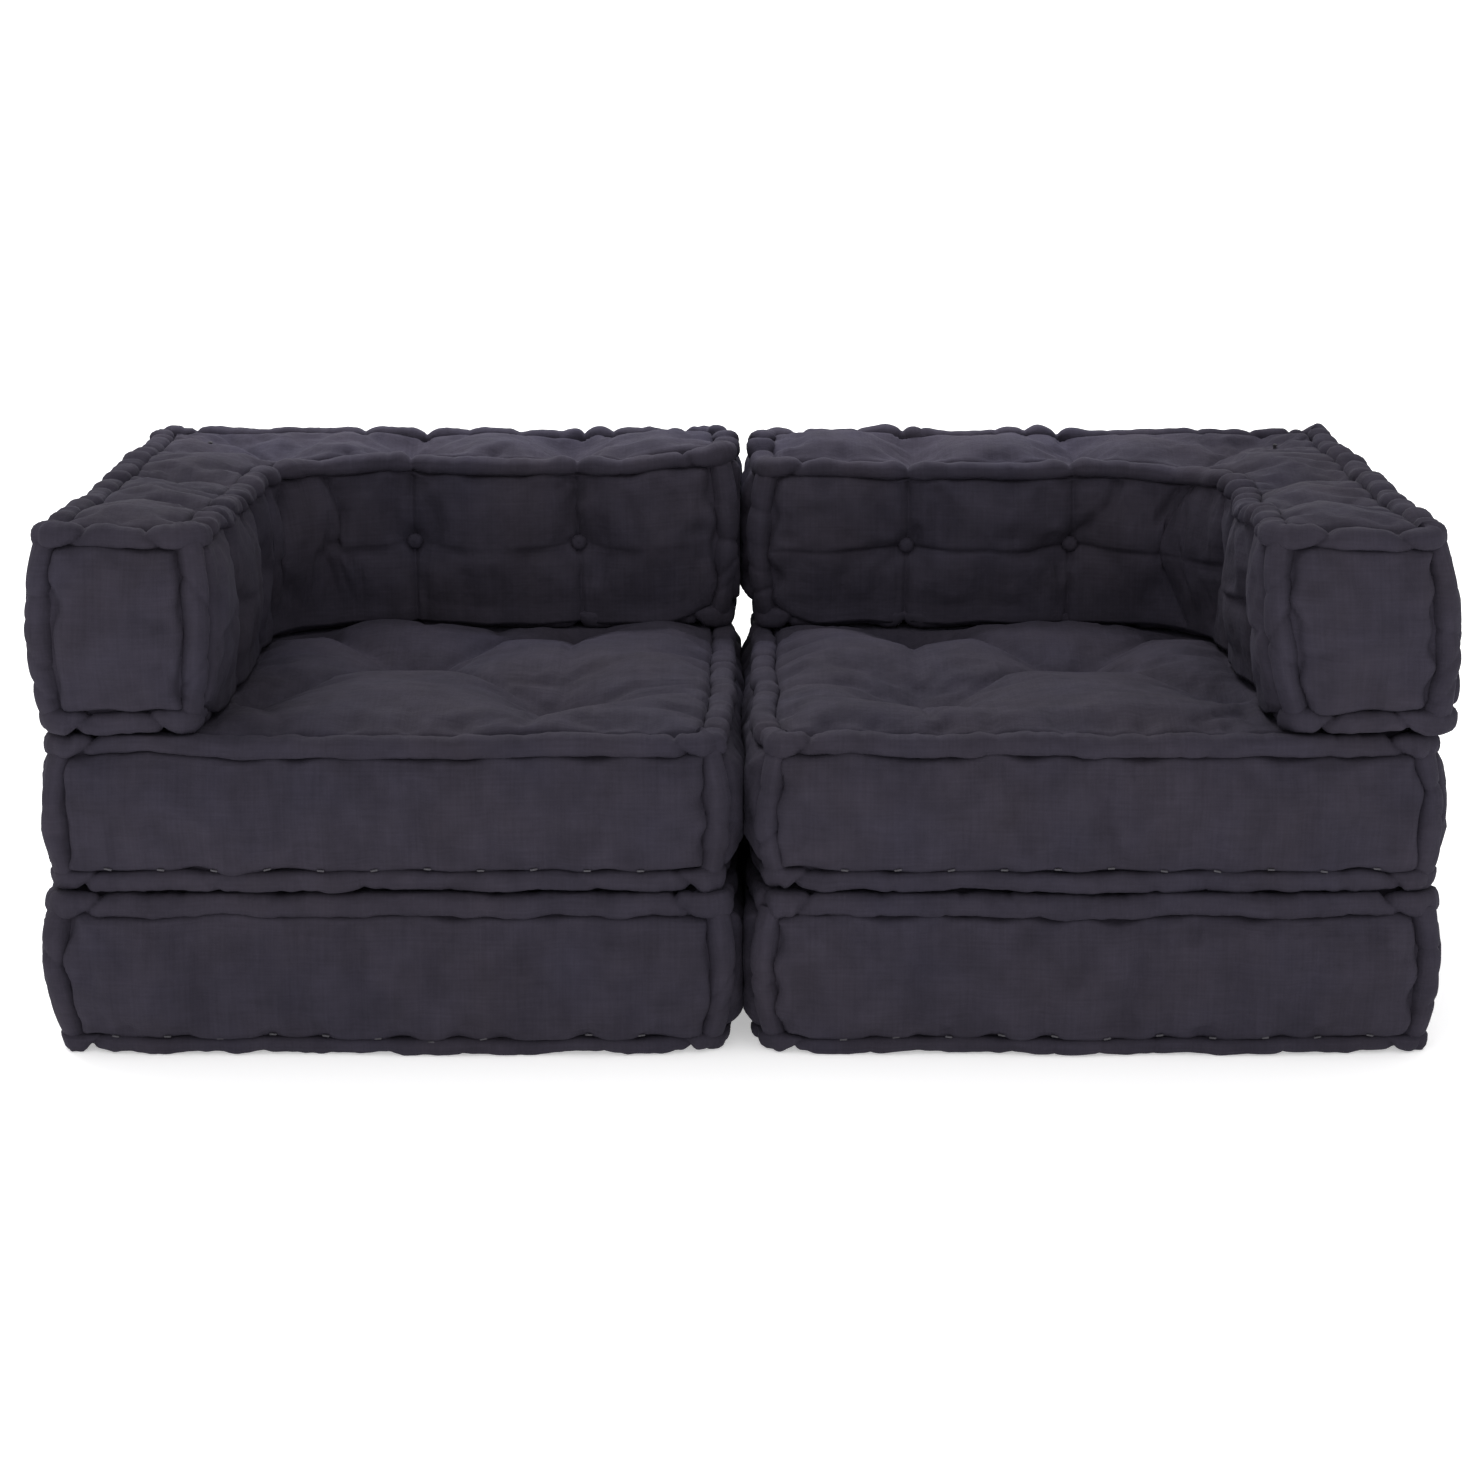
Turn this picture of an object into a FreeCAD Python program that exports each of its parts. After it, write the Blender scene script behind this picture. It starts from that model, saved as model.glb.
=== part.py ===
"""Floor sofa of two mirrored corner modules, in millimetres.

Each module is a stack of three loose stuffed cushions: a square base, a square tufted seat and an
L-shaped back that wraps one side and the rear. Every cushion is a sewn cotton cover over a loose
filling, with a stuffed roll along each edge, and twine ties that draw the tufts in.
+X is the sitter's left, as seen from the front it points right. +Y is to the rear and +Z is up.
The origin is on the floor, under the middle of the pair.
"""

import FreeCAD
import Part
import math
import os

from FreeCAD import Vector

# Overall sizes of one module and of the pair, over the edge rolls
MODULE_WIDTH = 680.0
MODULE_DEPTH = 680.0
MODULE_GAP = 16.0
BASE_HEIGHT = 166.0
SEAT_HEIGHT = 158.0
BACK_HEIGHT = 204.0
STACK_GAP = 0.3

# Plan of the L-shaped back
ARM_THICKNESS = 170.0
BACK_THICKNESS = 170.0
INNER_CORNER_RADIUS = 100.0

# Edge rolls, the bend on their inner side where they turn a corner, and the thinner upright rolls, which bow
# out from the corner half-way up
ROLL_RADIUS = 14.0
ROLL_BEND = 6.0
UPRIGHT_RADIUS = 12.0
UPRIGHT_BOW = 8.0

# Border, which swells past the rolls half-way up, and the shoulder from a roll up to the top panel
BORDER_CORNER_RADIUS = 50.0
BORDER_SWELL = 5.0
SHOULDER_WIDTH = 28.0
SHOULDER_BULGE = 0.5

# Crowns above the rolls
BACK_CROWN = 8.0
SEAT_CROWN = 24.0
PILLOW_CLEARANCE = 8.0
PILLOW_CORNER_RADIUS = 75.0
PILLOW_SHOULDER = 36.0
PILLOW_SLOPE = 95.0
PILLOW_SHOULDER_RISE = 0.62

# Cover cloth and filling
CLOTH = 2.0
FILLING_CLEARANCE = 0.3

# Tufts through the square cushions: four about the middle, and one in the middle.
# Depths are from the top of the crown.
TUFT_OFFSET_X = 165.0
TUFT_OFFSET_Y = 160.0
PANEL_TUFT_DEPTH = 10.0
PANEL_TUFT_RADIUS = 55.0
SEAT_TUFT_DEPTH = 42.0
SEAT_TUFT_RADIUS = 82.0

# Tufts in the back, counted from the free end of each leg
BACK_TUFT_FIRST = 175.0
BACK_TUFT_PITCH = 183.0
BACK_TOP_TUFT_DEPTH = 20.0
BACK_TOP_TUFT_RADIUS = 62.0
BUTTON_TUFT_DEPTH = 16.0
BUTTON_TUFT_RADIUS = 70.0
TIE_STAGGER = 12.0

# Twine and buttons
TIE_RADIUS = 1.6
TIE_CLEARANCE = 0.2
STITCH_RADIUS = 5.0
STITCH_THICKNESS = 2.0
BUTTON_RADIUS = 8.5
BUTTON_RIM = 2.5
BUTTON_DOME = 4.5

# How far above a face the tuft cutters reach, so that they cut clear of it
CUTTER_RISE = 2.0
# Where a tuft's rounded flank swells over the straight line from rim to root
TUFT_SWELL = 0.16


def square_corners(width, depth):
    """Corners of a square cushion, counter-clockwise, about its own middle."""
    x, y = width / 2, depth / 2
    return [(-x, -y), (x, -y), (x, y), (-x, y)]


def back_corners():
    """Corners of the L: the arm runs along -X and the back along +Y."""
    x, y = MODULE_WIDTH / 2, MODULE_DEPTH / 2
    arm_face, back_face = -x + ARM_THICKNESS, y - BACK_THICKNESS
    return [(-x, -y), (arm_face, -y), (arm_face, back_face), (x, back_face), (x, y), (-x, y)]


def corner_frames(corners):
    """For each corner: the point, the way in, the way out, and whether it is an outward corner."""
    frames = []
    for i, (x, y) in enumerate(corners):
        before = Vector(x, y, 0) - Vector(*corners[i - 1], 0)
        after = Vector(*corners[(i + 1) % len(corners)], 0) - Vector(x, y, 0)
        way_in, way_out = before.normalize(), after.normalize()
        outward = way_in.cross(way_out).z > 0
        frames.append((Vector(x, y, 0), way_in, way_out, outward))
    return frames


def left_normal(direction):
    """The direction a quarter turn counter-clockwise, which points into a counter-clockwise outline."""
    return Vector(-direction.y, direction.x, 0)


def outline(corners, inset, z, outer_radius, inner_radius=INNER_CORNER_RADIUS):
    """Closed wire of lines and corner arcs, moved inwards by inset. outer_radius is at the moved outline."""
    arcs = []
    for point, way_in, way_out, outward in corner_frames(corners):
        moved = point + (left_normal(way_in) + left_normal(way_out)) * inset
        radius = outer_radius if outward else inner_radius + inset
        start = moved - way_in * radius
        end = moved + way_out * radius
        centre = start + left_normal(way_in) * (radius if outward else -radius)
        middle = centre + (moved - centre).normalize() * radius
        arcs.append((start, middle, end))
    edges = []
    for i, (start, middle, end) in enumerate(arcs):
        edges.append(Part.Arc(start, middle, end).toShape())
        edges.append(Part.LineSegment(end, arcs[(i + 1) % len(arcs)][0]).toShape())
    wire = Part.Wire(edges)
    wire.translate(Vector(0, 0, z))
    return wire


def edge_roll(corners, z, radius):
    """Stuffed roll of a given radius round the whole outline, at height z, with its outside on the outline."""
    path = outline(corners, ROLL_RADIUS, z, ROLL_RADIUS + ROLL_BEND)
    first = path.OrderedEdges[1]
    start = first.valueAt(first.FirstParameter)
    direction = first.tangentAt(first.FirstParameter)
    ring = Part.Wire([Part.Circle(start, direction, radius).toShape()])
    spine = Part.Wire(path.OrderedEdges[1:] + path.OrderedEdges[:1])
    return spine.makePipeShell([ring], True, False)


def corner_stands(corners):
    """Where the upright rolls stand, on the bend of the edge rolls at each outward corner, and the way out."""
    inset = ROLL_RADIUS + (ROLL_RADIUS + ROLL_BEND) * (1 - math.sqrt(0.5))
    stands = []
    for point, way_in, way_out, outward in corner_frames(corners):
        if outward:
            inward = left_normal(way_in) + left_normal(way_out)
            stands.append((point + inward * inset, Vector(-inward.x, -inward.y, 0).normalize()))
    return stands


def upright_roll(foot, outward, bottom, top, radius):
    """One upright roll, bowed out between the middles of the lower and the upper edge roll."""
    low = foot + Vector(0, 0, bottom + ROLL_RADIUS)
    high = foot + Vector(0, 0, top - ROLL_RADIUS)
    bow = Part.Arc(low, (low + high) / 2 + outward * UPRIGHT_BOW, high).toShape()
    ring = Part.Wire([Part.Circle(low, bow.tangentAt(bow.FirstParameter), radius).toShape()])
    return Part.Wire([bow]).makePipeShell([ring], True, False)


def seam_corner_radius():
    """Corner radius of the panels and the border where they are drawn in to the seams."""
    return BORDER_CORNER_RADIUS - ROLL_RADIUS - BORDER_SWELL


def border(corners, bottom, top, inset):
    """Side of a cushion: drawn in at the rolls and swelling between them."""
    drawn_in = ROLL_RADIUS + inset
    low, high = bottom + ROLL_RADIUS, top - ROLL_RADIUS
    sections = [
        outline(corners, drawn_in, low, seam_corner_radius()),
        outline(corners, inset - BORDER_SWELL, (low + high) / 2, BORDER_CORNER_RADIUS),
        outline(corners, drawn_in, high, seam_corner_radius()),
    ]
    return Part.makeLoft(sections, True, False)


def shoulder(corners, seam, rise, inset):
    """Rounded step from the seam behind a roll to a panel that lies rise above it, or below if negative."""
    drawn_in = ROLL_RADIUS + inset
    tight = seam_corner_radius()
    reach = rise - math.copysign(inset, rise)
    sections = [
        outline(corners, drawn_in, seam, tight),
        outline(corners, drawn_in + SHOULDER_WIDTH / 4, seam + reach * SHOULDER_BULGE, tight),
        outline(corners, drawn_in + SHOULDER_WIDTH, seam + reach, tight),
    ]
    return Part.makeLoft(sections, True, False)


def sitting_pillow(top, inset):
    """Crowned part of the seat, in the space that the L-shaped back leaves open."""
    x, y = MODULE_WIDTH / 2, MODULE_DEPTH / 2
    near = ROLL_RADIUS + PILLOW_CLEARANCE
    left, right = -x + ARM_THICKNESS + PILLOW_CLEARANCE, x - near
    front, rear = -y + near, y - BACK_THICKNESS - PILLOW_CLEARANCE
    corners = [(left, front), (right, front), (right, rear), (left, rear)]
    foot = top - PILLOW_CLEARANCE
    height = SEAT_CROWN + PILLOW_CLEARANCE - inset
    sections = [
        outline(corners, inset, foot, PILLOW_CORNER_RADIUS),
        outline(corners, inset + PILLOW_SHOULDER, foot + height * PILLOW_SHOULDER_RISE, PILLOW_CORNER_RADIUS),
        outline(corners, inset + PILLOW_SLOPE, foot + height, PILLOW_CORNER_RADIUS),
    ]
    return Part.makeLoft(sections, True, False)


def turned(profile, point, outward):
    """Solid of revolution of a profile in the XZ plane, set at point with its axis along outward."""
    solid = Part.Face(Part.Wire(profile)).revolve(Vector(0, 0, 0), Vector(0, 0, 1), 360)
    solid.Placement = FreeCAD.Placement(point, FreeCAD.Rotation(Vector(0, 0, 1), outward))
    return solid


def tuft(point, outward, depth, radius, root, inset):
    """Cutter for one tuft: a dimple that falls in rounded flanks from its rim to a flat root."""
    deep, wide, flat = depth + inset, radius + inset, root + inset
    swell = TUFT_SWELL * (wide - flat)
    middle_r = (flat + wide) / 2 - swell / 2
    middle_z = (CUTTER_RISE - deep) / 2 + swell / 2
    bottom, rim = Vector(flat, 0, -deep), Vector(wide, 0, CUTTER_RISE)
    foot, head = Vector(0, 0, -deep), Vector(0, 0, CUTTER_RISE)
    profile = [
        Part.LineSegment(foot, head).toShape(),
        Part.LineSegment(head, rim).toShape(),
        Part.Arc(rim, Vector(middle_r, 0, middle_z), bottom).toShape(),
        Part.LineSegment(bottom, foot).toShape(),
    ]
    return turned(profile, point, outward)


def tie(start, end):
    """Twine through a cushion, with a flat stitch at each end."""
    along = (end - start).normalize()
    twine = Part.makeCylinder(TIE_RADIUS, (end - start).Length, start, along)
    stitches = [
        Part.makeCylinder(STITCH_RADIUS, STITCH_THICKNESS, start - along * STITCH_THICKNESS, along),
        Part.makeCylinder(STITCH_RADIUS, STITCH_THICKNESS, end, along),
    ]
    return twine.fuse(stitches).removeSplitter()


def plain_twine(start, end):
    """Twine through the back, tied to a button at each end."""
    along = (end - start).normalize()
    return Part.makeCylinder(TIE_RADIUS, (end - start).Length, start, along)


def tie_hole(start, end):
    """Clearance round a tie, through the cover and the filling."""
    along = (end - start).normalize()
    reach = STITCH_THICKNESS
    return Part.makeCylinder(
        TIE_RADIUS + TIE_CLEARANCE, (end - start).Length + 2 * reach, start - along * reach, along
    )


def button(seat, outward):
    """Cloth-covered button with a domed face, standing on the root of its tuft."""
    foot, edge = Vector(0, 0, 0), Vector(BUTTON_RADIUS, 0, 0)
    rim, crest = Vector(BUTTON_RADIUS, 0, BUTTON_RIM), Vector(0, 0, BUTTON_RIM + BUTTON_DOME)
    bulge = Vector(BUTTON_RADIUS * math.sin(math.pi / 4), 0, BUTTON_RIM + BUTTON_DOME * math.cos(math.pi / 4))
    profile = [
        Part.LineSegment(foot, crest).toShape(),
        Part.Arc(crest, bulge, rim).toShape(),
        Part.LineSegment(rim, edge).toShape(),
        Part.LineSegment(edge, foot).toShape(),
    ]
    return turned(profile, seat, outward)


class Cushion:
    """One cushion: an outline, its bottom and top, the rise of its top panel, and its tufts."""

    def __init__(self, corners, bottom, height, crown=0.0, pillow=False):
        self.corners = corners
        self.bottom = bottom
        self.top = bottom + height
        self.crown = crown
        self.pillow = pillow
        self.tufts = []
        self.ties = []
        self.twines = []
        self.buttons = []

    def add_tuft(self, point, outward, depth, radius, root):
        self.tufts.append((point, outward, depth, radius, root))

    def add_through_tuft(self, x, y, top_face, top_depth, top_radius):
        """Upright tuft from the top panel to the bottom panel, with its tie."""
        up = Vector(0, 0, 1)
        self.add_tuft(Vector(x, y, top_face), up, top_depth, top_radius, STITCH_RADIUS)
        self.add_tuft(Vector(x, y, self.bottom), -up, PANEL_TUFT_DEPTH, PANEL_TUFT_RADIUS, STITCH_RADIUS)
        low = Vector(x, y, self.bottom + PANEL_TUFT_DEPTH)
        self.ties.append((low, Vector(x, y, top_face - top_depth)))

    def add_buttoned_tuft(self, inner, outer):
        """Level tuft through the back, with a button on each face."""
        inward = (outer - inner).normalize()
        for point, outward in ((inner, -inward), (outer, inward)):
            self.add_tuft(point, outward, BUTTON_TUFT_DEPTH, BUTTON_TUFT_RADIUS, BUTTON_RADIUS)
            self.buttons.append((point - outward * BUTTON_TUFT_DEPTH, outward))
        self.twines.append((inner + inward * BUTTON_TUFT_DEPTH, outer - inward * BUTTON_TUFT_DEPTH))

    def edge_rolls(self, growth=0.0):
        """The bottom and the top roll, both thicker by growth."""
        radius = ROLL_RADIUS + growth
        return [edge_roll(self.corners, z, radius) for z in (self.bottom + ROLL_RADIUS, self.top - ROLL_RADIUS)]

    def upright_rolls(self, growth=0.0):
        radius = UPRIGHT_RADIUS + growth
        return [upright_roll(*stand, self.bottom, self.top, radius) for stand in corner_stands(self.corners)]

    def body(self, inset):
        """The stuffed form inside the rolls, drawn in by inset all over."""
        seam_low, seam_high = self.bottom + ROLL_RADIUS, self.top - ROLL_RADIUS
        pieces = [
            shoulder(self.corners, seam_low, -ROLL_RADIUS, inset),
            shoulder(self.corners, seam_high, ROLL_RADIUS + self.crown, inset),
        ]
        if self.pillow:
            pieces.append(sitting_pillow(self.top, inset))
        form = border(self.corners, self.bottom, self.top, inset).fuse(pieces)
        form = form.cut(self.edge_rolls(inset)).cut(self.upright_rolls(inset))
        return form.cut([tuft(*values, inset) for values in self.tufts]).removeSplitter()

    def parts(self):
        """Each piece of the cushion by name."""
        holes = [tie_hole(*ends) for ends in self.ties + self.twines]
        rolls = self.edge_rolls()
        uprights = [roll.cut(rolls) for roll in self.upright_rolls()]
        made = {
            "cover": self.body(0.0).cut([self.body(CLOTH)] + holes),
            "filling": self.body(CLOTH + FILLING_CLEARANCE).cut(holes),
            "bottom_roll": rolls[0],
            "top_roll": rolls[1],
            "corner_rolls": Part.makeCompound(uprights),
            "tuft_ties": Part.makeCompound(
                [tie(*ends) for ends in self.ties] + [plain_twine(*ends) for ends in self.twines]
            ),
        }
        if self.buttons:
            made["buttons"] = Part.makeCompound([button(*values) for values in self.buttons])
        return made


def square_tuft_places():
    """The five tufts of a square cushion."""
    corners = [(i * TUFT_OFFSET_X, j * TUFT_OFFSET_Y) for i in (-1, 1) for j in (-1, 1)]
    return corners + [(0.0, 0.0)]


def base_cushion():
    base = Cushion(square_corners(MODULE_WIDTH, MODULE_DEPTH), 0.0, BASE_HEIGHT)
    for x, y in square_tuft_places():
        base.add_through_tuft(x, y, base.top, PANEL_TUFT_DEPTH, PANEL_TUFT_RADIUS)
    return base


def seat_cushion(bottom):
    seat = Cushion(square_corners(MODULE_WIDTH, MODULE_DEPTH), bottom, SEAT_HEIGHT, pillow=True)
    for x, y in square_tuft_places():
        seat.add_through_tuft(x, y, seat.top + SEAT_CROWN, SEAT_TUFT_DEPTH, SEAT_TUFT_RADIUS)
    return seat


def back_cushion(bottom):
    """The L: tufts march along both legs, on the top, the inside and the outside."""
    back = Cushion(back_corners(), bottom, BACK_HEIGHT, crown=BACK_CROWN)
    x, y = MODULE_WIDTH / 2, MODULE_DEPTH / 2
    arm_middle, back_middle = -x + ARM_THICKNESS / 2, y - BACK_THICKNESS / 2
    level = (back.bottom + back.top) / 2
    top_face = back.top + BACK_CROWN
    top_places = [(arm_middle, back_middle)]
    for n in range(2):
        along = BACK_TUFT_FIRST + n * BACK_TUFT_PITCH
        top_places.append((arm_middle, -y + along + TIE_STAGGER))
        top_places.append((x - along - TIE_STAGGER, back_middle))
        arm_inner, arm_outer = -x + ARM_THICKNESS + BORDER_SWELL, -x - BORDER_SWELL
        back.add_buttoned_tuft(Vector(arm_inner, -y + along, level), Vector(arm_outer, -y + along, level))
        back_inner, back_outer = y - BACK_THICKNESS - BORDER_SWELL, y + BORDER_SWELL
        back.add_buttoned_tuft(Vector(x - along, back_inner, level), Vector(x - along, back_outer, level))
    for place in top_places:
        back.add_through_tuft(*place, top_face, BACK_TOP_TUFT_DEPTH, BACK_TOP_TUFT_RADIUS)
    return back


def module_parts():
    """All the pieces of the left-hand module, about its own middle."""
    base = base_cushion()
    seat = seat_cushion(base.top + STACK_GAP)
    back = back_cushion(seat.top + STACK_GAP)
    cushions = {"base": base, "seat": seat, "back": back}
    return {f"{c}_{p}": shape for c, cushion in cushions.items() for p, shape in cushion.parts().items()}


def main():
    os.makedirs("parts", exist_ok=True)
    offset = Vector(-(MODULE_WIDTH + MODULE_GAP) / 2, 0, 0)
    for name, shape in module_parts().items():
        left = shape.translated(offset)
        left.exportStep(f"parts/left_{name}.step")
        left.mirror(Vector(0, 0, 0), Vector(1, 0, 0)).exportStep(f"parts/right_{name}.step")


main()
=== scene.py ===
"""Looks of a floor sofa of two mirrored corner modules.

Each module is a stack of three loose stuffed cotton cushions: a base, a tufted seat and an L-shaped back.
Each cushion gets a sewn cover, puckered edge rolls, upright corner rolls and tuft ties. The base and the seat
get seam stitches, and the back gets cloth buttons. Lengths are in metres. Places inside a module are written
for the left one, about its own middle, with the arm along -x and the back along +y. The right one is its
mirror image.

Sharp creases are given as (depth, reach), ripples as (height, wave length) and the puckers that run from
stitches as (depth, width, reach). A number added to a cushion's seed gives each random field its own pattern.
"""

import math

import bpy
import numpy as np
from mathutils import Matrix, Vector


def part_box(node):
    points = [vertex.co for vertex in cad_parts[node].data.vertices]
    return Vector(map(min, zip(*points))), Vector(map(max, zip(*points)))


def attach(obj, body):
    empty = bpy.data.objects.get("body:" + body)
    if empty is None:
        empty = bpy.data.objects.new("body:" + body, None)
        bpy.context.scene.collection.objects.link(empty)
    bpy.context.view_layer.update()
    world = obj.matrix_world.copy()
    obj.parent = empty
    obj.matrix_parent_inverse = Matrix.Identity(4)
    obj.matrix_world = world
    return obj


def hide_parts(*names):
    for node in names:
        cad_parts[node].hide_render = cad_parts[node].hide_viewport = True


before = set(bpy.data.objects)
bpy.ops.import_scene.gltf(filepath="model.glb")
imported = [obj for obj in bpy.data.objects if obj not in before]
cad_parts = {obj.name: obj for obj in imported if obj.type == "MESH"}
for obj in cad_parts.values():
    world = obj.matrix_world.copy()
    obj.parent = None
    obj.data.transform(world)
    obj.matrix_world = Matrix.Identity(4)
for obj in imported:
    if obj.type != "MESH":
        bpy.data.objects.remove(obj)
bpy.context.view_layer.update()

# Plan of the L-shaped back, and the bend of a roll round a corner, as in the solids
ARM_THICKNESS = 0.170
BACK_THICKNESS = 0.170
INNER_CORNER_RADIUS = 0.100
ROLL_BEND = 0.006

# Tufts of the square cushions, and the columns of tufts along the legs of the back from their free ends
TUFT_OFFSET_X = 0.165
TUFT_OFFSET_Y = 0.160
COLUMN_FIRST = 0.175
COLUMN_PITCH = 0.183
TIE_STAGGER = 0.012

# Fineness of the covers, of the coarse copies that are simulated, and of the rolls
COVER_CELL = 0.0060
SEAM_CELL = 0.0013
CELL_GROWTH = 0.22
PRESSED_CELL = 0.0105
ROLL_STEP = 0.0026
ROLL_SIDES = 24
PATH_STEP = 0.001
SEARCH_STEP = 0.004

# Rolls: fullness of their section, and the share of it that shows beside the panels and the borders
ROLL_POWER = 2.8
PANEL_TUCK = 0.85
UPRIGHT_TUCK = 0.90
BORDER_TUCK = {"base": (0.20, 0.75), "seat": (0.55, 0.55), "back": (0.65, 0.50)}
LEAST_TUCK = 0.25

# Inner faces of the back: where they start, and how their border hangs over a thinner bottom roll
INNER_START = 0.015
INNER_EASE = 0.040
INNER_TUCK = (-0.40, 0.30)
INNER_THINNER = 0.30
INNER_APRON = (0.004, 0.030)
INNER_DROP = (0.012, 0.025)

# Where cloth comes out from behind a roll, and how it rises from there
SEAM_DEPTH = 0.0018
SEAM_WAVE = (0.0024, 0.055)
UPRIGHT_SEAM_WAVE = (0.0036, 0.05)
UPRIGHT_SEAM_STRETCH = 0.3
SEAM_STEP = 0.0018
SEAM_EASE = 0.018
SEAM_STEP_SHARE = 0.88
CORNER_ROUND = 0.007

# Waviness of the edges, sideways and up
EDGE_SWAY = (0.0022, 0.15)
EDGE_LIFT = (0.0018, 0.11)

# Border: level beside the rolls, further swell half-way up, its reach, and the cloth's own unevenness
BORDER_LEVEL = 0.0130
BORDER_SWELL = 0.0060
BORDER_REACH = 0.045
BORDER_LOOSE = 0.020
BORDER_PUCKER = (0.0024, 0.007, 0.022)
BORDER_RIPPLE = (0.0020, 0.22)
BORDER_FINE_RIPPLE = (0.0011, 0.040)
FINE_RIPPLE_STRETCH = (1, 0.25)

# Sides that face the other module: their swell, and the wavy surface where the two press on each other
FACING_SWELL = 0.016
FACING_REACH = 0.050
FACING_CURVE = 4
FACING_DEPTH = 0.05
FACING_GAP = 0.0003
FACING_WAVE = 0.003
FACING_WAVE_LENGTH = 0.30

# Seat: how far its tufts lie under the rolls, how far its hills rise over them, and their reach
SEAT_TUFT_SINK = 0.031
SEAT_HILL = 0.043
SEAT_TILT = 0.020
SEAT_TUFT_REACH = 0.058
SEAT_EDGE_REACH = 0.026
SEAT_PLEAT = (0.009, 0.010, 0.046)
SEAT_RIPPLE = (0.0030, 0.16)

# Valleys between the tufts of the seat, and how the foot of the back fills tufts and valleys
SEAT_SIDE_VALLEY = (0.30, 0.024)
SEAT_CROSS_VALLEY = (0.36, 0.024)
SEAT_FOOT_GAP = 0.001
SEAT_FOOT_REACH = 0.005
TUFT_FILL = (0.55, 0.040)
VALLEY_FILL = (0.7, 0.060)

# Short folds that run out from each tuft of the seat, and the deep dimple in their middle
TUFT_FOLDS = 7
TUFT_FOLD_STRAY = 0.3
TUFT_FOLD_DEPTH = 0.0050
TUFT_FOLD_WIDTH = 0.0060
TUFT_FOLD_REACH = 0.055
TUFT_FOLD_SPREAD = (0.6, 1.3)
TUFT_DIMPLE = (0.012, 0.011)

# Plain panels, and the top of the back with its creases across the legs and the corner
PANEL_TUFT = (0.010, 0.030)
ARM_HILL = 0.004
ARM_HILL_EASE = 0.10
BACK_EDGE_REACH = 0.022
BACK_PLEAT = (0.006, 0.008, 0.022)
BACK_TIE = (0.004, 0.040)
BACK_CREASE_DEPTH = 0.021
BACK_CREASE_REACH = 0.034
CORNER_CREASE_DEPTH = 0.014
CORNER_CREASE_REACH = 0.028
CORNER_CREASE_OUTER = 0.070
CORNER_CREASE_INNER = 0.020
CREASE_LINE = (0.006, 0.004)
BACK_RIPPLE = (0.0018, 0.11)
BACK_FINE_RIPPLE = (0.0004, 0.035)

# Stitches along the rolls: pitch, strength and slant, those on the roped top edges of the arms apart
STITCH_END = 0.02
SIDE_PITCH = 0.052
FRONT_PITCH = 0.056
PITCH_SPREAD = (0.7, 1.4)
FACING_SHARE = 0.7
STITCH_POWERS = (0.2, 1.0)
STITCH_POWER_CURVE = 1.3
ROPE_POWER = 0.95
ROPE_POWER_SPREAD = 0.55
FRONT_POWER = 0.35
PLAIN_POWER = 0.80
ROPE_SLANT = 0.8
SLANT_SPREAD = 0.45
COLUMN_CLEAR = 0.022
COLUMN_POWER = 1.25
COLUMN_SLANT = 0.15
STITCH_REACH = 0.05
PUCKER_SLANT = 0.4

# What the stitches and the corners do to an edge roll, as shares of its radius
ROLL_PINCH = (0.42, 0.0044)
ROLL_BULGE = 0.13
ROLL_BULGE_PLACE = 0.018
ROLL_BULGE_REACH = 0.011
CORNER_KNOT = 0.16
CORNER_KNOT_REACH = 0.020
CORNER_PINCH = (0.50, 0.0042)
CORNER_PINCH_PLACE = 0.032
CORNER_PINCH_SLANT = 0.6
LEAST_SHARE = 0.52
ROLL_RIPPLE = (0.085, 0.045)
ROLL_CRIMP = (0.026, 0.013)
CRIMP_STRETCH = (1.0, 0.35, 0.35)
CORNER_GATHER = 2.0
CORNER_GATHER_REACH = 0.045

# Corners: how far they are drawn in at the bottom and the top
DRAW_IN = {"base": (0.010, 0.003), "seat": (0.009, 0.012), "back": (0.004, 0.004)}
DRAW_LENGTH = 0.055

# Upright rolls: how far they bow out, and their pinches
UPRIGHT_BOW = {"base": 0.015, "seat": 0.013, "back": 0.016}
BOW_CURVE = 0.8
UPRIGHT_FIRST = 0.030
UPRIGHT_LAST = 0.020
UPRIGHT_PITCH = 0.032
UPRIGHT_STRAY = 0.01
UPRIGHT_POWERS = (0.1, 1.0)
UPRIGHT_SLANT = 0.7
UPRIGHT_PINCH = (0.30, 0.0042)
UPRIGHT_RIPPLE = (0.07, 0.05)

# Arms: how far the outer top edge is drawn in behind its front end, and how far the outer side leans in
ARM_DRAW = {"left": 0.016, "right": 0.004}
ARM_DRAW_FRONT = 0.10
ARM_DRAW_REAR = 0.05
ARM_LEAN = {"left": 0.000, "right": 0.010}

# Inner top edge of each back: how far it leans over the seat at the front of the arm, and how far it sags
# along its middle and at its free end
INNER_LEAN = {"left": 0.006, "right": 0.024}
LEAN_START = 0.12
LEAN_WIDTH = 0.10
LEAN_LENGTH = 0.36
INNER_SAG = {"left": (0.012, 0.000), "right": (0.017, 0.013)}
SAG_START = 0.08
SAG_FULL = 0.25
SAG_END = 0.12

# Upright faces of the back: creases along the button columns, and a shorter fold beside each of them
COLUMN_TILT = 0.06
COLUMN_LINE = (0.0060, 0.0030)
COLUMN_CREASE = (0.0080, 0.026)
BUTTON_TUFT = (0.0095, 0.018)
SIDE_FOLD = (0.0030, 0.0028)
SIDE_FOLD_OFFSET = 0.010
SIDE_FOLD_MIDDLE = 0.3
SIDE_FOLD_LENGTH = 0.6
FOLD_START = 0.006

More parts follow.
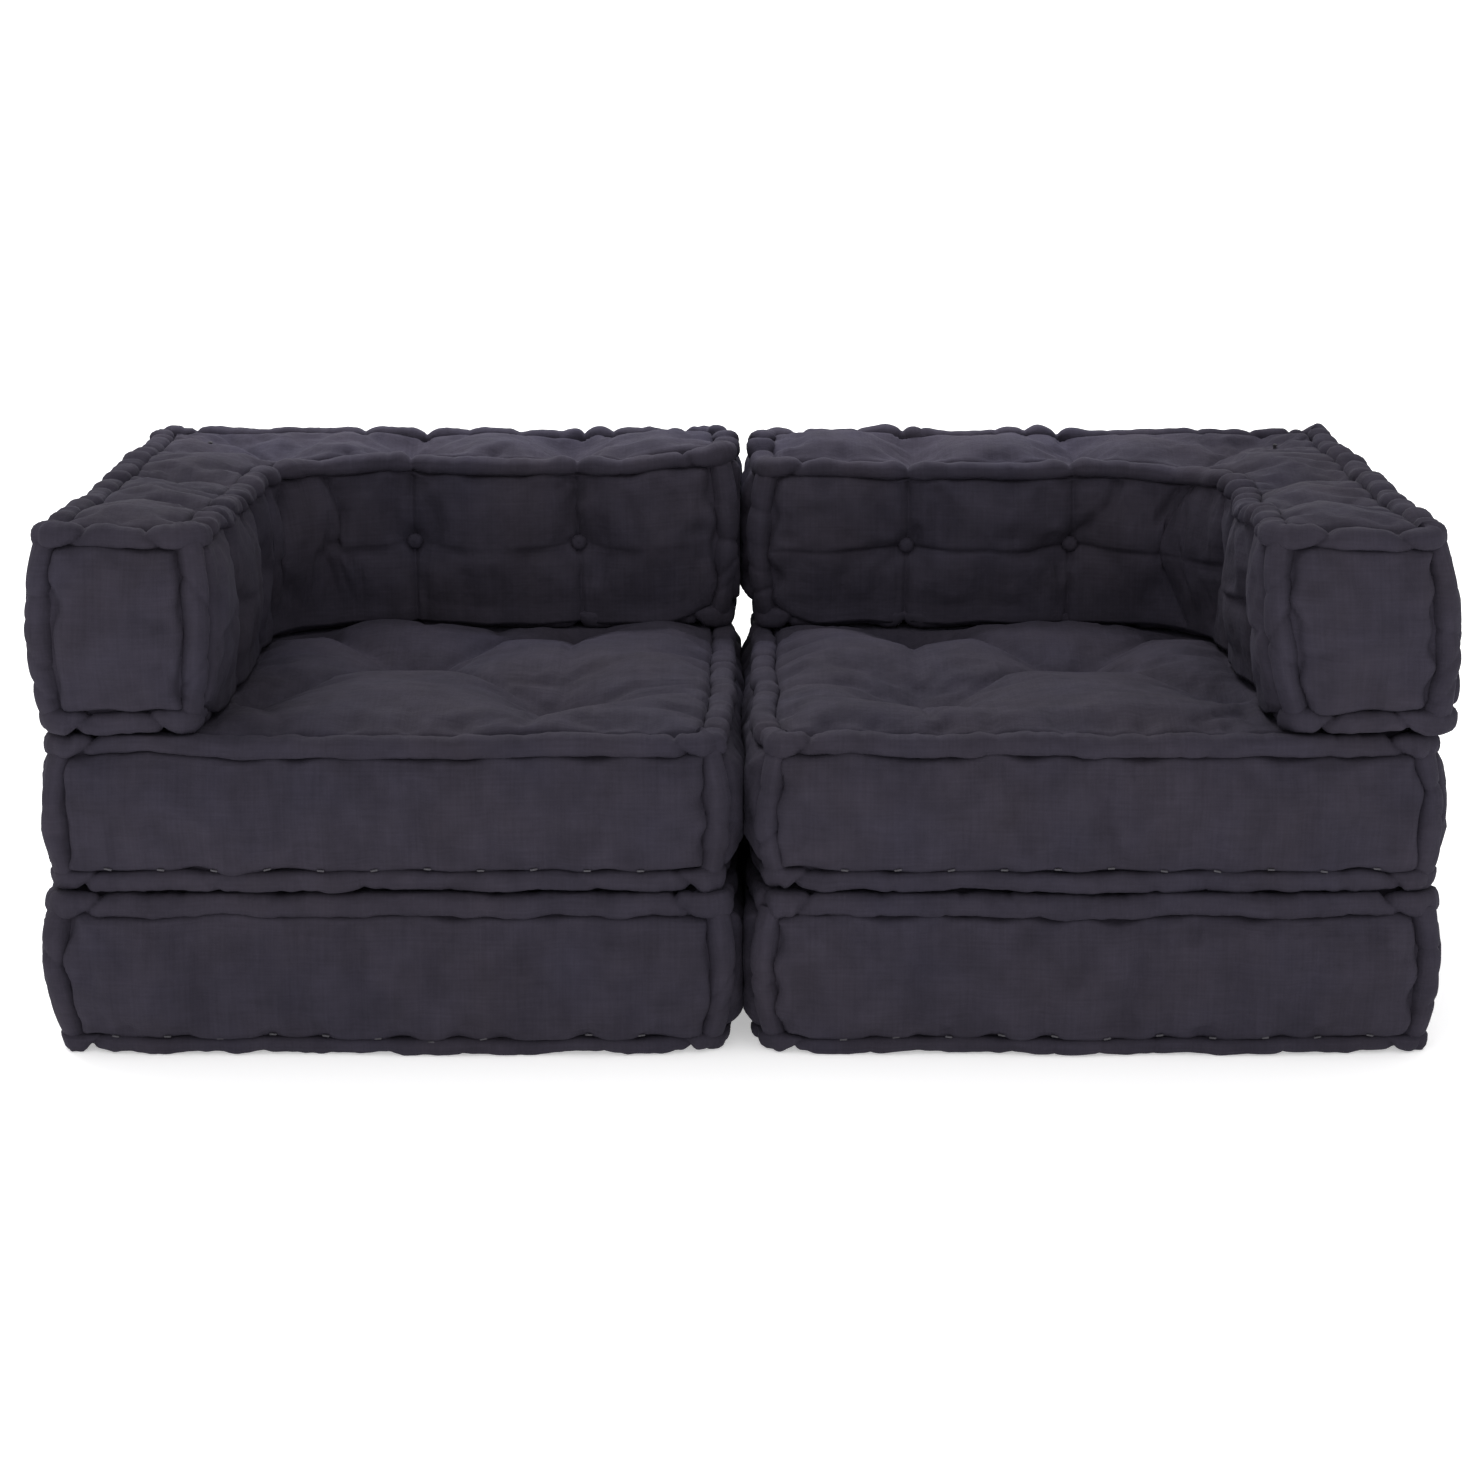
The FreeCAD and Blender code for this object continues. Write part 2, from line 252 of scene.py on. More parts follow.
# Level fold between the buttons: its strength, its line, the step under it and the puff over it
LEVEL_FOLD = {"left": 0.2, "right": 1.0}
LEVEL_LENGTH = 0.120
LEVEL_SAG = 0.005
LEVEL_SAG_REACH = 0.035
LEVEL_LINE = (0.0048, 0.0030)
LEVEL_STEP = (0.0040, 0.030)
LEVEL_PUFF = 0.0020
LEVEL_PUFF_PLACE = 0.030
LEVEL_PUFF_REACH = 0.026

# Long folds in the inner corner of each back: lengths from the middle of the corner, and shares of the height
CORNER_FOLDS = {
    "left": [
        [(0.040, 0.97), (0.056, 0.72), (0.052, 0.52)],
        [(-0.012, 0.96), (-0.034, 0.60), (-0.030, 0.25)],
        [(-0.072, 0.95), (-0.082, 0.55), (-0.060, 0.12)],
    ],
    "right": [
        [(0.088, 0.98), (0.102, 0.78), (0.138, 0.56)],
        [(0.016, 0.97), (0.040, 0.70)],
        [(-0.002, 0.97), (0.028, 0.66), (0.026, 0.28), (-0.004, 0.05)],
        [(-0.070, 0.95), (-0.084, 0.50), (-0.062, 0.10)],
    ],
}
CORNER_FOLD_LINE = (0.0055, 0.0035)
CORNER_FOLD_CREASE = (0.0055, 0.016)

# Buttons, stitches and ties
BUTTON_RADIUS = 0.0088
BUTTON_RISE = 0.0060
BUTTON_LIFT = 0.002
THREAD_RADIUS = 0.0011
THREAD_LENGTH = 0.0075
THREAD_PITCH = 0.052
THREAD_FIRST = 0.05
THREAD_CORNER = 0.04
THREAD_RISE = 0.004
THREAD_STRAY = 0.001
THREAD_LIFT = 1.6
THREAD_SIDES = 8
TWINE_RADIUS = 0.0016
TWINE_SIDES = 10
TWINE_KNOT = 0.7

# Cloth simulation, and how near to seams, tufts, creases, valleys and the foot of the back cloth is held
PRESSED_FRAMES = 20
PRESSURE = 4.0
SPARE_CLOTH = 0.03
MOVE_CAP = 0.010
HELD_EDGE = 0.008
HELD_CREASE = 0.007
HELD_VALLEY = 0.075
HELD_FOOT = 0.004
HELD_HEM = 0.022

# Cotton: waves per metre of its dye, patches, creases and nap, and of its slubs along and across a thread,
# the ranges that they go through, and its bumps as (strength, distance)
DYE_WAVES = 9
PATCH_WAVES = 28
CREASE_WAVES = 55
NAP_WAVES = 40
SLUB_ALONG = 14
SLUB_ACROSS = 380
SLUB_RANGE = (0.93, 1.07)
PATCH_RANGE = (0.86, 1.14)
NAP_RANGE = (0.86, 0.98)
WEAVE = {"Scale": 240.0, "Distortion": 1.2, "Detail": 1.0}
WEAVE_BUMP = (0.35, 0.0004)
SLUB_BUMP = (0.5, 0.0008)
CREASE_BUMP = (0.35, 0.006)

# Thread: its twist, the waves per metre of its patches, and the ranges of its shade and roughness
TWIST = {"Scale": 180.0, "Distortion": 0.8}
TWIST_BUMP = (0.6, 0.0004)
THREAD_PATCH_WAVES = 90
THREAD_PATCH_RANGE = (0.8, 1.2)
THREAD_ROUGHNESS = (0.6, 0.8)

UP = np.array([0.0, 0.0, 1.0])
PANELS = ("bottom", "top")
BORDERS = ("inner", "end", "outer", "start")
SHEET_WAYS = {
    "bottom": (0, 1), "top": (0, 1), "inner": (0, 2), "outer": (0, 2), "end": (1, 2), "start": (1, 2)
}


def smooth_noise(points, scale, seed):
    """Smooth random field of about -1 to 1 with waves of about the given length."""
    rng = np.random.default_rng(seed)
    count = 16
    directions = rng.normal(size=(count, points.shape[1]))
    directions /= np.linalg.norm(directions, axis=1, keepdims=True)
    lengths = scale * rng.uniform(0.7, 1.5, count)
    phases = rng.uniform(0, 2 * math.pi, count)
    angles = points @ (directions * (2 * math.pi / lengths)[:, None]).T + phases
    return np.sin(angles).sum(axis=1) / math.sqrt(count)


def ripple(points, size, seed):
    """Smooth random unevenness of a given height and wave length."""
    height, length = size
    return height * smooth_noise(points, length, seed)


def fall(distance, reach):
    """1 at no distance, falling off sharply at first."""
    return np.exp(-np.abs(distance) / reach)


def crease(distance, size):
    """Depth at a distance from a sharp crease of a given depth and reach."""
    depth, reach = size
    return depth * fall(distance, reach)


def bell(distance, reach):
    """1 at no distance, falling off smoothly."""
    return np.exp(-((distance / reach) ** 2))


def rise_from_seam(away):
    """Share of its full height that cloth reaches at a distance from its seam."""
    step = SEAM_STEP_SHARE * (1 - fall(away, SEAM_STEP))
    return step + (1 - SEAM_STEP_SHARE) * (1 - fall(away, SEAM_EASE))


def rounded_least(a, b, radius):
    """Distance to the nearer of two edges at right angles, with the corner between them rounded off."""
    inside = radius - np.hypot(np.clip(radius - a, 0, None), np.clip(radius - b, 0, None))
    return np.where((a < radius) | (b < radius), inside, np.minimum(a, b))


def segment_gap(x, y, start, end):
    """Distance from points to a straight segment."""
    ax, ay = start
    dx, dy = end[0] - ax, end[1] - ay
    share = np.clip(((x - ax) * dx + (y - ay) * dy) / (dx * dx + dy * dy), 0, 1)
    return np.hypot(x - ax - share * dx, y - ay - share * dy)


class PlanPath:
    """Closed plan outline of straight runs and corner arcs, walked counter-clockwise by length."""

    def __init__(self, corners, inset, outer_radius, inner_radius):
        corners = np.array(corners)
        arc_steps = 32
        arcs, turns = [], []
        for i, corner in enumerate(corners):
            way_in = corner - corners[i - 1]
            way_in /= np.linalg.norm(way_in)
            way_out = corners[(i + 1) % len(corners)] - corner
            way_out /= np.linalg.norm(way_out)
            left_in = np.array([-way_in[1], way_in[0]])
            left_out = np.array([-way_out[1], way_out[0]])
            turn = way_in[0] * way_out[1] - way_in[1] * way_out[0]
            radius = outer_radius if turn > 0 else inner_radius + inset
            moved = corner + (left_in + left_out) * inset
            centre = moved - way_in * radius + left_in * radius * turn
            start = -left_in * turn
            angles = np.linspace(0, turn * math.pi / 2, arc_steps + 1)
            cos, sin = np.cos(angles), np.sin(angles)
            spokes = np.column_stack([start[0] * cos - start[1] * sin, start[0] * sin + start[1] * cos])
            arcs.append(centre + spokes * radius)
            turns.append(turn)
        middle = arc_steps // 2
        points = np.roll(np.concatenate(arcs), -middle, axis=0)
        points = np.concatenate([points, points[:1]])
        steps = np.linalg.norm(np.diff(points, axis=0), axis=1)
        lengths = np.concatenate([[0], np.cumsum(steps)])
        self.length = lengths[-1]
        self.corner_s = [lengths[i * (arc_steps + 1)] for i in range(len(corners))]
        self.outward_s = [s for s, turn in zip(self.corner_s, turns) if turn > 0]
        count = round(self.length / PATH_STEP)
        s = np.arange(count) * self.length / count
        xy = np.column_stack([np.interp(s, lengths, points[:, i]) for i in (0, 1)])
        along = np.roll(xy, -3, axis=0) - np.roll(xy, 3, axis=0)
        table = np.column_stack([xy, along])
        self.table = np.concatenate([table, table[:1]])

    def at(self, s):
        """Points at lengths s along the path, and the outward directions there."""
        count = len(self.table) - 1
        places = np.mod(s, self.length) / self.length * count
        x, y, dx, dy = (np.interp(places, np.arange(count + 1), column) for column in self.table.T)
        size = np.hypot(dx, dy)
        return np.column_stack([x, y]), np.column_stack([dy / size, -dx / size])

    def gap(self, s, place):
        """Signed length from a place on the path to lengths s, the short way round."""
        return np.mod(s - place + self.length / 2, self.length) - self.length / 2

    def corner_gap(self, s):
        """Length along the path to the nearest outward corner."""
        return np.min([np.abs(self.gap(s, corner)) for corner in self.outward_s], axis=0)


class Cushion:
    """One cushion of a module, with the lines that its cover, rolls, seams and stitches share."""

    def __init__(self, side, kind, seed):
        self.name = f"{side}_{kind}"
        self.side = side
        self.kind = kind
        self.seed = seed * 100
        low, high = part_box(f"{self.name}_bottom_roll")
        self.roll = (high.z - low.z) / 2
        self.mirror = 1 if side == "left" else -1
        self.centre_x = (low.x + high.x) / 2
        self.half_x = (high.x - low.x) / 2
        self.half_y = (high.y - low.y) / 2
        self.bottom = low.z
        self.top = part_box(f"{self.name}_top_roll")[1].z
        self.seams = (self.bottom + self.roll, self.top - self.roll)
        self.height = self.seams[1] - self.seams[0]
        self.arm_line = -self.half_x + ARM_THICKNESS
        self.back_line = self.half_y - BACK_THICKNESS
        self.path = PlanPath(self.plan_corners(), self.roll, self.roll + ROLL_BEND, INNER_CORNER_RADIUS)
        self.panel_seam = PANEL_TUCK * self.roll - SEAM_DEPTH
        self.upright_seam = UPRIGHT_TUCK * self.roll - SEAM_DEPTH
        self.tufts = self.tuft_places()
        self.columns = self.column_places() if kind == "back" else []
        self.stitches = [self.stitch_row(level) for level in (0, 1)]

    def plan_corners(self):
        """Corners of the plan, counter-clockwise from the outer front one."""
        x, y = self.half_x, self.half_y
        if self.kind == "back":
            return [
                (-x, -y), (self.arm_line, -y), (self.arm_line, self.back_line),
                (x, self.back_line), (x, y), (-x, y),
            ]
        return [(-x, -y), (x, -y), (x, y), (-x, y)]

    def tuft_places(self):
        """Where twine draws the top and the bottom panel together."""
        if self.kind != "back":
            corners = [(i * TUFT_OFFSET_X, j * TUFT_OFFSET_Y) for i in (-1, 1) for j in (-1, 1)]
            return corners + [(0.0, 0.0)]
        arm_middle = -self.half_x + ARM_THICKNESS / 2
        back_middle = self.half_y - BACK_THICKNESS / 2
        places = [(arm_middle, back_middle)]
        for number in range(2):
            along = COLUMN_FIRST + number * COLUMN_PITCH + TIE_STAGGER
            places += [(arm_middle, -self.half_y + along), (self.half_x - along, back_middle)]
        return places

    def column_places(self):
        """Path lengths of the button columns: four on the inner faces, then their four partners outside."""
        corner = self.path.corner_s
        radius = self.roll + ROLL_BEND
        start = self.roll + radius - radius * math.pi / 4
        inner, outer = [], []
        for number in range(2):
            along = COLUMN_FIRST + number * COLUMN_PITCH - start
            inner += [corner[1] + along, corner[3] - along]
            outer += [self.path.length - along, corner[4] + along]
        return inner + outer

    def roped(self, level, outward):
        """Whether the edge roll is the tightly stitched one on top of an arm, for directions outward."""
        return (np.abs(outward[:, 0]) > FACING_SHARE) & (self.kind == "back") & (level == 1)

    def stitch_row(self, level):
        """Places, strengths and slants of the stitches that pinch an edge roll."""
        rng = np.random.default_rng(self.seed + level)
        places = []
        place = STITCH_END
        while place < self.path.length - STITCH_END:
            places.append(place)
            on_arm = self.roped(level, self.path.at(np.array([place]))[1])[0]
            place += (SIDE_PITCH if on_arm else FRONT_PITCH) * rng.uniform(*PITCH_SPREAD)
        places = np.array(places)
        power = rng.uniform(*STITCH_POWERS, len(places)) ** STITCH_POWER_CURVE
        outward = self.path.at(places)[1]
        roped = self.roped(level, outward)
        plain = np.where(outward[:, 1] < -FACING_SHARE, FRONT_POWER, PLAIN_POWER) * power
        power = np.where(roped, ROPE_POWER + ROPE_POWER_SPREAD * power, plain)
        slant = np.where(roped, ROPE_SLANT, 0.0) + rng.normal(0, SLANT_SPREAD, len(places))
        for column in self.columns:
            apart = np.abs(self.path.gap(places, column)) > COLUMN_CLEAR
            places = np.append(places[apart], column)
            power = np.append(power[apart], COLUMN_POWER)
            slant = np.append(slant[apart], COLUMN_SLANT * rng.normal())
        return places, power, slant

    def edge_line(self, level, s):
        """Middle line of the bottom (0) or the top (1) edge roll at lengths s, and the outward directions."""
        xy, outward = self.path.at(s)
        flat = np.column_stack([xy, np.full(len(xy), self.seams[level])])
        sway = ripple(flat, EDGE_SWAY, self.seed + 10 + level)
        lift = ripple(flat, EDGE_LIFT, self.seed + 12 + level)
        inward = DRAW_IN[self.kind][level] * fall(self.path.corner_gap(s), DRAW_LENGTH) + sway
        if self.kind == "back":
            outer = np.clip(-outward[:, 0], 0, 1)
            inward += outer * ARM_LEAN[self.side] * (1 if level else -1)
            from_front = 1 - fall(xy[:, 1] + self.half_y, ARM_DRAW_FRONT)
            from_rear = 1 - bell(self.half_y - xy[:, 1], ARM_DRAW_REAR)
            inward += outer * level * ARM_DRAW[self.side] * (from_front * from_rear)
            xy = xy + level * self.inner_lean(xy)
            lift -= level * self.inner_sag(s)
        height = self.seams[level] + (np.abs(lift) if level == 0 else lift)
        return np.column_stack([xy - outward * inward[:, None], height]), outward

    def inner_lean(self, xy):
        """How far the top edge of the back leans over the seat at the front of its arm."""
        inner = np.clip((xy[:, 0] - self.arm_line + LEAN_START) / LEAN_WIDTH, 0, 1)
        front = np.clip(1 - (xy[:, 1] + self.half_y) / LEAN_LENGTH, 0, 1)
        return np.column_stack([INNER_LEAN[self.side] * inner * front, np.zeros(len(xy))])

    def inner_sag(self, s):
        """How far the top edge of the back sags along its inner faces and its free end."""
        corner = self.path.corner_s
        middle, end = INNER_SAG[self.side]
        knots = [corner[1] + SAG_START, corner[1] + SAG_FULL, corner[3] - SAG_END, corner[3], corner[4]]
        return np.interp(np.mod(s, self.path.length), knots, [0, middle, middle, end, 0])

    def inner_share(self, s):
        """1 on the inner faces of the back, falling to 0 at their ends and elsewhere."""
        if self.kind != "back":
            return np.zeros(len(s))
        s = np.mod(s, self.path.length)
        inside = np.minimum(s - self.path.corner_s[1], self.path.corner_s[3] - s)
        return np.clip((inside - INNER_START) / INNER_EASE, 0, 1)

    def tuck(self, level, s):
        """Share of an edge roll that shows beside the border."""
        plain = BORDER_TUCK[self.kind][level]
        return plain + (INNER_TUCK[level] - plain) * self.inner_share(s)

    def border_seam(self, level, s):
        """How far from the middle of an edge roll the border comes out from behind it."""
        wave = ripple(np.column_stack([s, np.zeros(len(s))]), SEAM_WAVE, self.seed + 14 + level)
        return self.tuck(level, s) * self.roll - SEAM_DEPTH + wave


def spaced(length, fine_places, finest, widest):
    """An even number of steps from 0 to length, shortest near the fine places."""
    samples = 3000
    x = np.linspace(0, length, samples)
    nearest = np.min([np.abs(x - place) for place in fine_places], axis=0)
    cell = np.minimum(finest + CELL_GROWTH * nearest, widest)
    density = (1 / cell[1:] + 1 / cell[:-1]) / 2
    counted = np.concatenate([[0], np.cumsum(np.diff(x) * density)])
    cells = 2 * round(counted[-1] / 2)
    return np.interp(np.linspace(0, counted[-1], cells + 1), counted, x)


def lattice_lines(cushion, finest, widest):
    """Places of a cover's lattice lines along, across and up, and their path lengths on its four sides."""
    path, corner = cushion.path, cushion.path.corner_s
    low_seam, high_seam = (share * cushion.roll for share in BORDER_TUCK[cushion.kind])
    fine_up = [low_seam, cushion.height - high_seam]
    seam = cushion.panel_seam
    if cushion.kind != "back":
        up = spaced(cushion.height, fine_up, finest, widest)
        length, depth = corner[1], corner[2] - corner[1]
        along = spaced(length, [seam, length - seam], finest, widest)
        across = spaced(depth, [seam, depth - seam], finest, widest)
        return along, across, up, [along, corner[1] + across, corner[3] - along, path.length - across]
    up = spaced(cushion.height, fine_up + [cushion.height / 2], finest, widest)
    across = spaced(corner[1], [seam, corner[1] - seam], finest, widest)
    arc = (INNER_CORNER_RADIUS + cushion.roll) * math.pi / 4
    leg = corner[2] - arc - corner[1]
    bend = 2 * (path.length - leg - corner[5])
    columns = [column - corner[1] for column in cushion.columns[0:4:2]]
    leg_lines = spaced(leg, [seam] + columns, finest, widest)
    bend_lines = spaced(bend, [bend / 2 - seam, bend / 2 + seam], finest, widest)
    along = np.concatenate([leg_lines, leg + bend_lines[1:], leg + bend + (leg - leg_lines[::-1])[1:]])
    knots = [0, leg, leg + bend, 2 * leg + bend]
    inner = np.interp(along, knots, [corner[1], corner[2] - arc, corner[2] + arc, corner[3]])
    outer = np.interp(along, knots, [path.length, path.length - leg, corner[4] + leg, corner[4]])
    return along, across, up, [inner, corner[3] + across, outer, corner[1] - across]


def box_skin(nu, nv, nw):
    """Point numbers on the six sheets of a box's skin, each with whether it needs turning to face out."""
    skin = np.ones((nu + 1, nv + 1, nw + 1), bool)
    skin[1:-1, 1:-1, 1:-1] = False
    number = np.full(skin.shape, -1)
    number[skin] = np.arange(skin.sum())
    sheets = {
        "bottom": (number[:, :, 0], True),
        "top": (number[:, :, -1], False),
        "inner": (number[:, 0, :], False),
        "end": (number[-1, :, :], False),
        "outer": (number[:, -1, :], True),
        "start": (number[0, :, :], True),
    }
    return sheets, skin.sum()


def coons(u, v, low, right, high, left):
    """Grid of points between four boundary curves."""
    u, v = u[:, None, None], v[None, :, None]
    along = (1 - v) * low[:, None, :] + v * high[:, None, :]
    across = (1 - u) * left[None, :, :] + u * right[None, :, :]
    corners = (1 - u) * (1 - v) * low[0] + u * (1 - v) * low[-1] + (1 - u) * v * high[0] + u * v * high[-1]
    return along + across - corners


def nearest_seam(cushion, level, flat):
    """Plan distance from points to the middle line of an edge roll, and the path length of that place."""
    batch = 4000
    s = np.arange(0, cushion.path.length, SEARCH_STEP)
    line = cushion.edge_line(level, s)[0]
    gap = np.empty(len(flat))
    place = np.empty(len(flat))
    for start in range(0, len(flat), batch):
        part = ((flat[start:start + batch, None, :2] - line[None, :, :2]) ** 2).sum(axis=2)
        nearest = part.argmin(axis=1)
        gap[start:start + batch] = np.sqrt(part[np.arange(len(part)), nearest])
        place[start:start + batch] = s[nearest]
    return gap, place


def puckers(cushion, level, s, away, size):
    """Depth of the short folds that run from the stitches of an edge roll into the cloth beside it."""
    depth, width, reach = size
    total = np.zeros(len(s))
    for place, power, slant in zip(*cushion.stitches[level]):
        offset = cushion.path.gap(s, place)
        near = np.abs(offset) < STITCH_REACH
        shifted = offset[near] + PUCKER_SLANT * slant * away[near]
        total[near] += depth * power * bell(shifted, width) * fall(away[near], reach)
    return total


def pressed_flat(cushion, level, points):
    """Flattens cloth where it rests on the floor, on the cushion below or under the cushion above."""
    if level == 0:
        points[:, 2] = np.maximum(points[:, 2], cushion.bottom)
        return
    covered = np.full(len(points), cushion.kind == "base")
    if cushion.kind == "seat":
        covered = (points[:, 0] < cushion.arm_line) | (points[:, 1] > cushion.back_line)
    points[covered, 2] = np.minimum(points[covered, 2], cushion.top)


def panel_points(cushion, level, flat):
    """Points of a top or bottom panel, and how firmly each is held when the stuffing presses out."""
    gap, s = nearest_seam(cushion, level, flat)
    away = np.clip(gap - cushion.panel_seam, 0, None)
    tuft_gap = np.min([np.hypot(flat[:, 0] - x, flat[:, 1] - y) for x, y in cushion.tufts], axis=0)
    rise = cushion.roll * rise_from_seam(away)
    held = np.ones(len(flat))
    if level == 1 and cushion.kind != "base":
        hills, pleat = (seat_hills, SEAT_PLEAT) if cushion.kind == "seat" else (back_hills, BACK_PLEAT)
        extra, held = hills(cushion, flat, away, tuft_gap)
        rise = rise + extra - puckers(cushion, level, s, away, pleat)
        held = np.where((away < HELD_EDGE) | (tuft_gap < HELD_EDGE), 1, held)
    else:
        rise = rise - crease(tuft_gap, PANEL_TUFT)
    points = flat.copy()
    points[:, 2] += rise if level else -rise
    pressed_flat(cushion, level, points)
    return points, held


def seat_hills(cushion, flat, away, tuft_gap):
    """Height of the sitting area over the seam, low under the back and at the tufts, and where it is held."""
    x, y = flat[:, 0], flat[:, 1]
    radius = INNER_CORNER_RADIUS
    from_arm, from_back = x - cushion.arm_line, cushion.back_line - y
    inside = np.where(
        (from_arm < radius) & (from_back < radius),
        radius - np.hypot(radius - from_arm, radius - from_back),
        np.minimum(from_arm, from_back),
    )
    foot = np.clip(inside - SEAT_FOOT_GAP, 0, None)
    slack = 1 - fall(tuft_gap, SEAT_TUFT_REACH) * (1 - crease(foot, TUFT_FILL))
    line_gap = np.full(len(x), 1.0)
    across, deep = TUFT_OFFSET_X, TUFT_OFFSET_Y
    for side in (-1, 1):
        for start, end, valley in (
            ((side * across, -deep), (side * across, deep), SEAT_SIDE_VALLEY),
            ((-across, -side * deep), (across, side * deep), SEAT_CROSS_VALLEY),
        ):
            gap = segment_gap(x, y, start, end)
            slack *= 1 - crease(gap, valley) * (1 - crease(foot, VALLEY_FILL))
            line_gap = np.minimum(line_gap, gap)
    hill = SEAT_HILL * slack - SEAT_TUFT_SINK + SEAT_TILT * y
    hill -= crease(tuft_gap, TUFT_DIMPLE) + tuft_folds(cushion, x, y)
    hill += ripple(flat[:, :2], SEAT_RIPPLE, cushion.seed + 20) * slack
    shown = 1 - fall(foot, SEAT_FOOT_REACH)
    valley_end = (line_gap < HELD_CREASE) & (tuft_gap < HELD_VALLEY)
    held = np.where((inside < HELD_FOOT) | valley_end, 1.0, 0.0)
    return hill * shown * (1 - fall(away, SEAT_EDGE_REACH)), held


def tuft_folds(cushion, x, y):
    """Depth of the short folds that run out from each tuft of the seat."""
    rng = np.random.default_rng(cushion.seed + 25)
    depth = np.zeros(len(x))
    for tuft_x, tuft_y in cushion.tufts:
        gap = np.hypot(x - tuft_x, y - tuft_y)
        turn = np.arctan2(y - tuft_y, x - tuft_x)
        for number in range(TUFT_FOLDS):
            stray = rng.uniform(-TUFT_FOLD_STRAY, TUFT_FOLD_STRAY)
            angle = (number + stray) * 2 * math.pi / TUFT_FOLDS
            length = TUFT_FOLD_REACH * rng.uniform(*TUFT_FOLD_SPREAD)
            ahead = gap * np.cos(turn - angle)
            beside = gap * np.sin(turn - angle)
            fold = TUFT_FOLD_DEPTH * fall(beside, TUFT_FOLD_WIDTH) * bell(gap, length)
            depth += np.where(ahead > 0, fold, 0)
    return np.minimum(depth, TUFT_FOLD_DEPTH)


def back_hills(cushion, flat, away, tuft_gap):
    """Height of the puffs on top of the back over the seam, between its creases, and where it is held."""
    x, y = flat[:, 0], flat[:, 1]
    tied = crease(tuft_gap, BACK_TIE)
    hill = ARM_HILL * np.clip((cushion.back_line - y) / ARM_HILL_EASE, 0, 1)
    crease_gap = np.full(len(x), 1.0)
    for number in range(2):
        along = COLUMN_FIRST + number * COLUMN_PITCH + TIE_STAGGER
        on_arm = np.where(x < cushion.arm_line, np.abs(y + cushion.half_y - along), 1.0)
        on_back = np.where(y > cushion.back_line, np.abs(cushion.half_x - along - x), 1.0)
        for offset in (on_arm, on_back):
            hill -= (BACK_CREASE_DEPTH + tied) * fall(offset, BACK_CREASE_REACH) + crease(offset, CREASE_LINE)
            crease_gap = np.minimum(crease_gap, offset)
    outer_end = (-cushion.half_x + CORNER_CREASE_OUTER, cushion.half_y)
    inner_end = (cushion.arm_line + CORNER_CREASE_INNER, cushion.back_line)
    corner = segment_gap(x, y, outer_end, inner_end)
    hill -= (CORNER_CREASE_DEPTH + tied) * fall(corner, CORNER_CREASE_REACH) + crease(corner, CREASE_LINE)
    hill += ripple(flat[:, :2], BACK_RIPPLE, cushion.seed + 21)
    hill += ripple(flat[:, :2], BACK_FINE_RIPPLE, cushion.seed + 24)
    held = np.where(np.minimum(crease_gap, corner) < HELD_CREASE, 1.0, 0.0)
    return hill * (1 - fall(away, BACK_EDGE_REACH)), held


def border_points(cushion, s, t):
    """Points of the border at path lengths s and shares t of its height, and how firmly each is held."""
    low, outward = cushion.edge_line(0, s)
    high = cushion.edge_line(1, s)[0]
    line = low + (high - low) * t[:, None]
    up, down = t * cushion.height, (1 - t) * cushion.height
    corner = cushion.path.corner_gap(s)
    inner = cushion.inner_share(s)
    from_low, from_high = up - cushion.border_seam(0, s), down - cushion.border_seam(1, s)
    upright_place = np.column_stack([UPRIGHT_SEAM_STRETCH * s, up])
    upright_wave = ripple(upright_place, UPRIGHT_SEAM_WAVE, cushion.seed + 16)
    from_upright = corner - cushion.upright_seam - upright_wave
    away = np.clip(rounded_least(np.minimum(from_low, from_high), from_upright, CORNER_ROUND), 0, None)
    swell = BORDER_LEVEL * rise_from_seam(away) + BORDER_SWELL * (1 - fall(away, BORDER_REACH))
    swell += upright_bow(cushion, t) * fall(corner, DRAW_LENGTH)
    swell += crease(up, INNER_APRON) * inner
    facing = np.clip(outward[:, 0], 0, 1) ** FACING_CURVE * (low[:, 0] > cushion.half_x - FACING_DEPTH)
    swell += FACING_SWELL * facing * (1 - fall(away, FACING_REACH))
    loose = np.minimum(1, away / BORDER_LOOSE)
    for level, height in ((0, from_low), (1, from_high)):
        swell -= puckers(cushion, level, s, np.clip(height, 0, None), BORDER_PUCKER) * loose
    place = np.column_stack([s, up])
    swell += ripple(place, BORDER_RIPPLE, cushion.seed + 22) * loose
    swell += ripple(place * FINE_RIPPLE_STRETCH, BORDER_FINE_RIPPLE, cushion.seed + 23) * loose
    held = np.where(away < HELD_EDGE, 1.0, 0.0)
    if cushion.kind == "back":
        depth, button_gap = back_face_folds(cushion, s, up)
        swell -= depth * np.minimum(1, away / FOLD_START)
        hem = (up < HELD_HEM) & (inner > 0.5)
        held = np.where((button_gap < HELD_EDGE) | hem, 1, held)
    drop = crease(up, INNER_DROP) * inner
    points = line + np.column_stack([outward * swell[:, None], -drop])
    return points, held


def upright_bow(cushion, t):
    """How far an upright roll bows out at share t of its height."""
    return UPRIGHT_BOW[cushion.kind] * np.sin(math.pi * t) ** BOW_CURVE


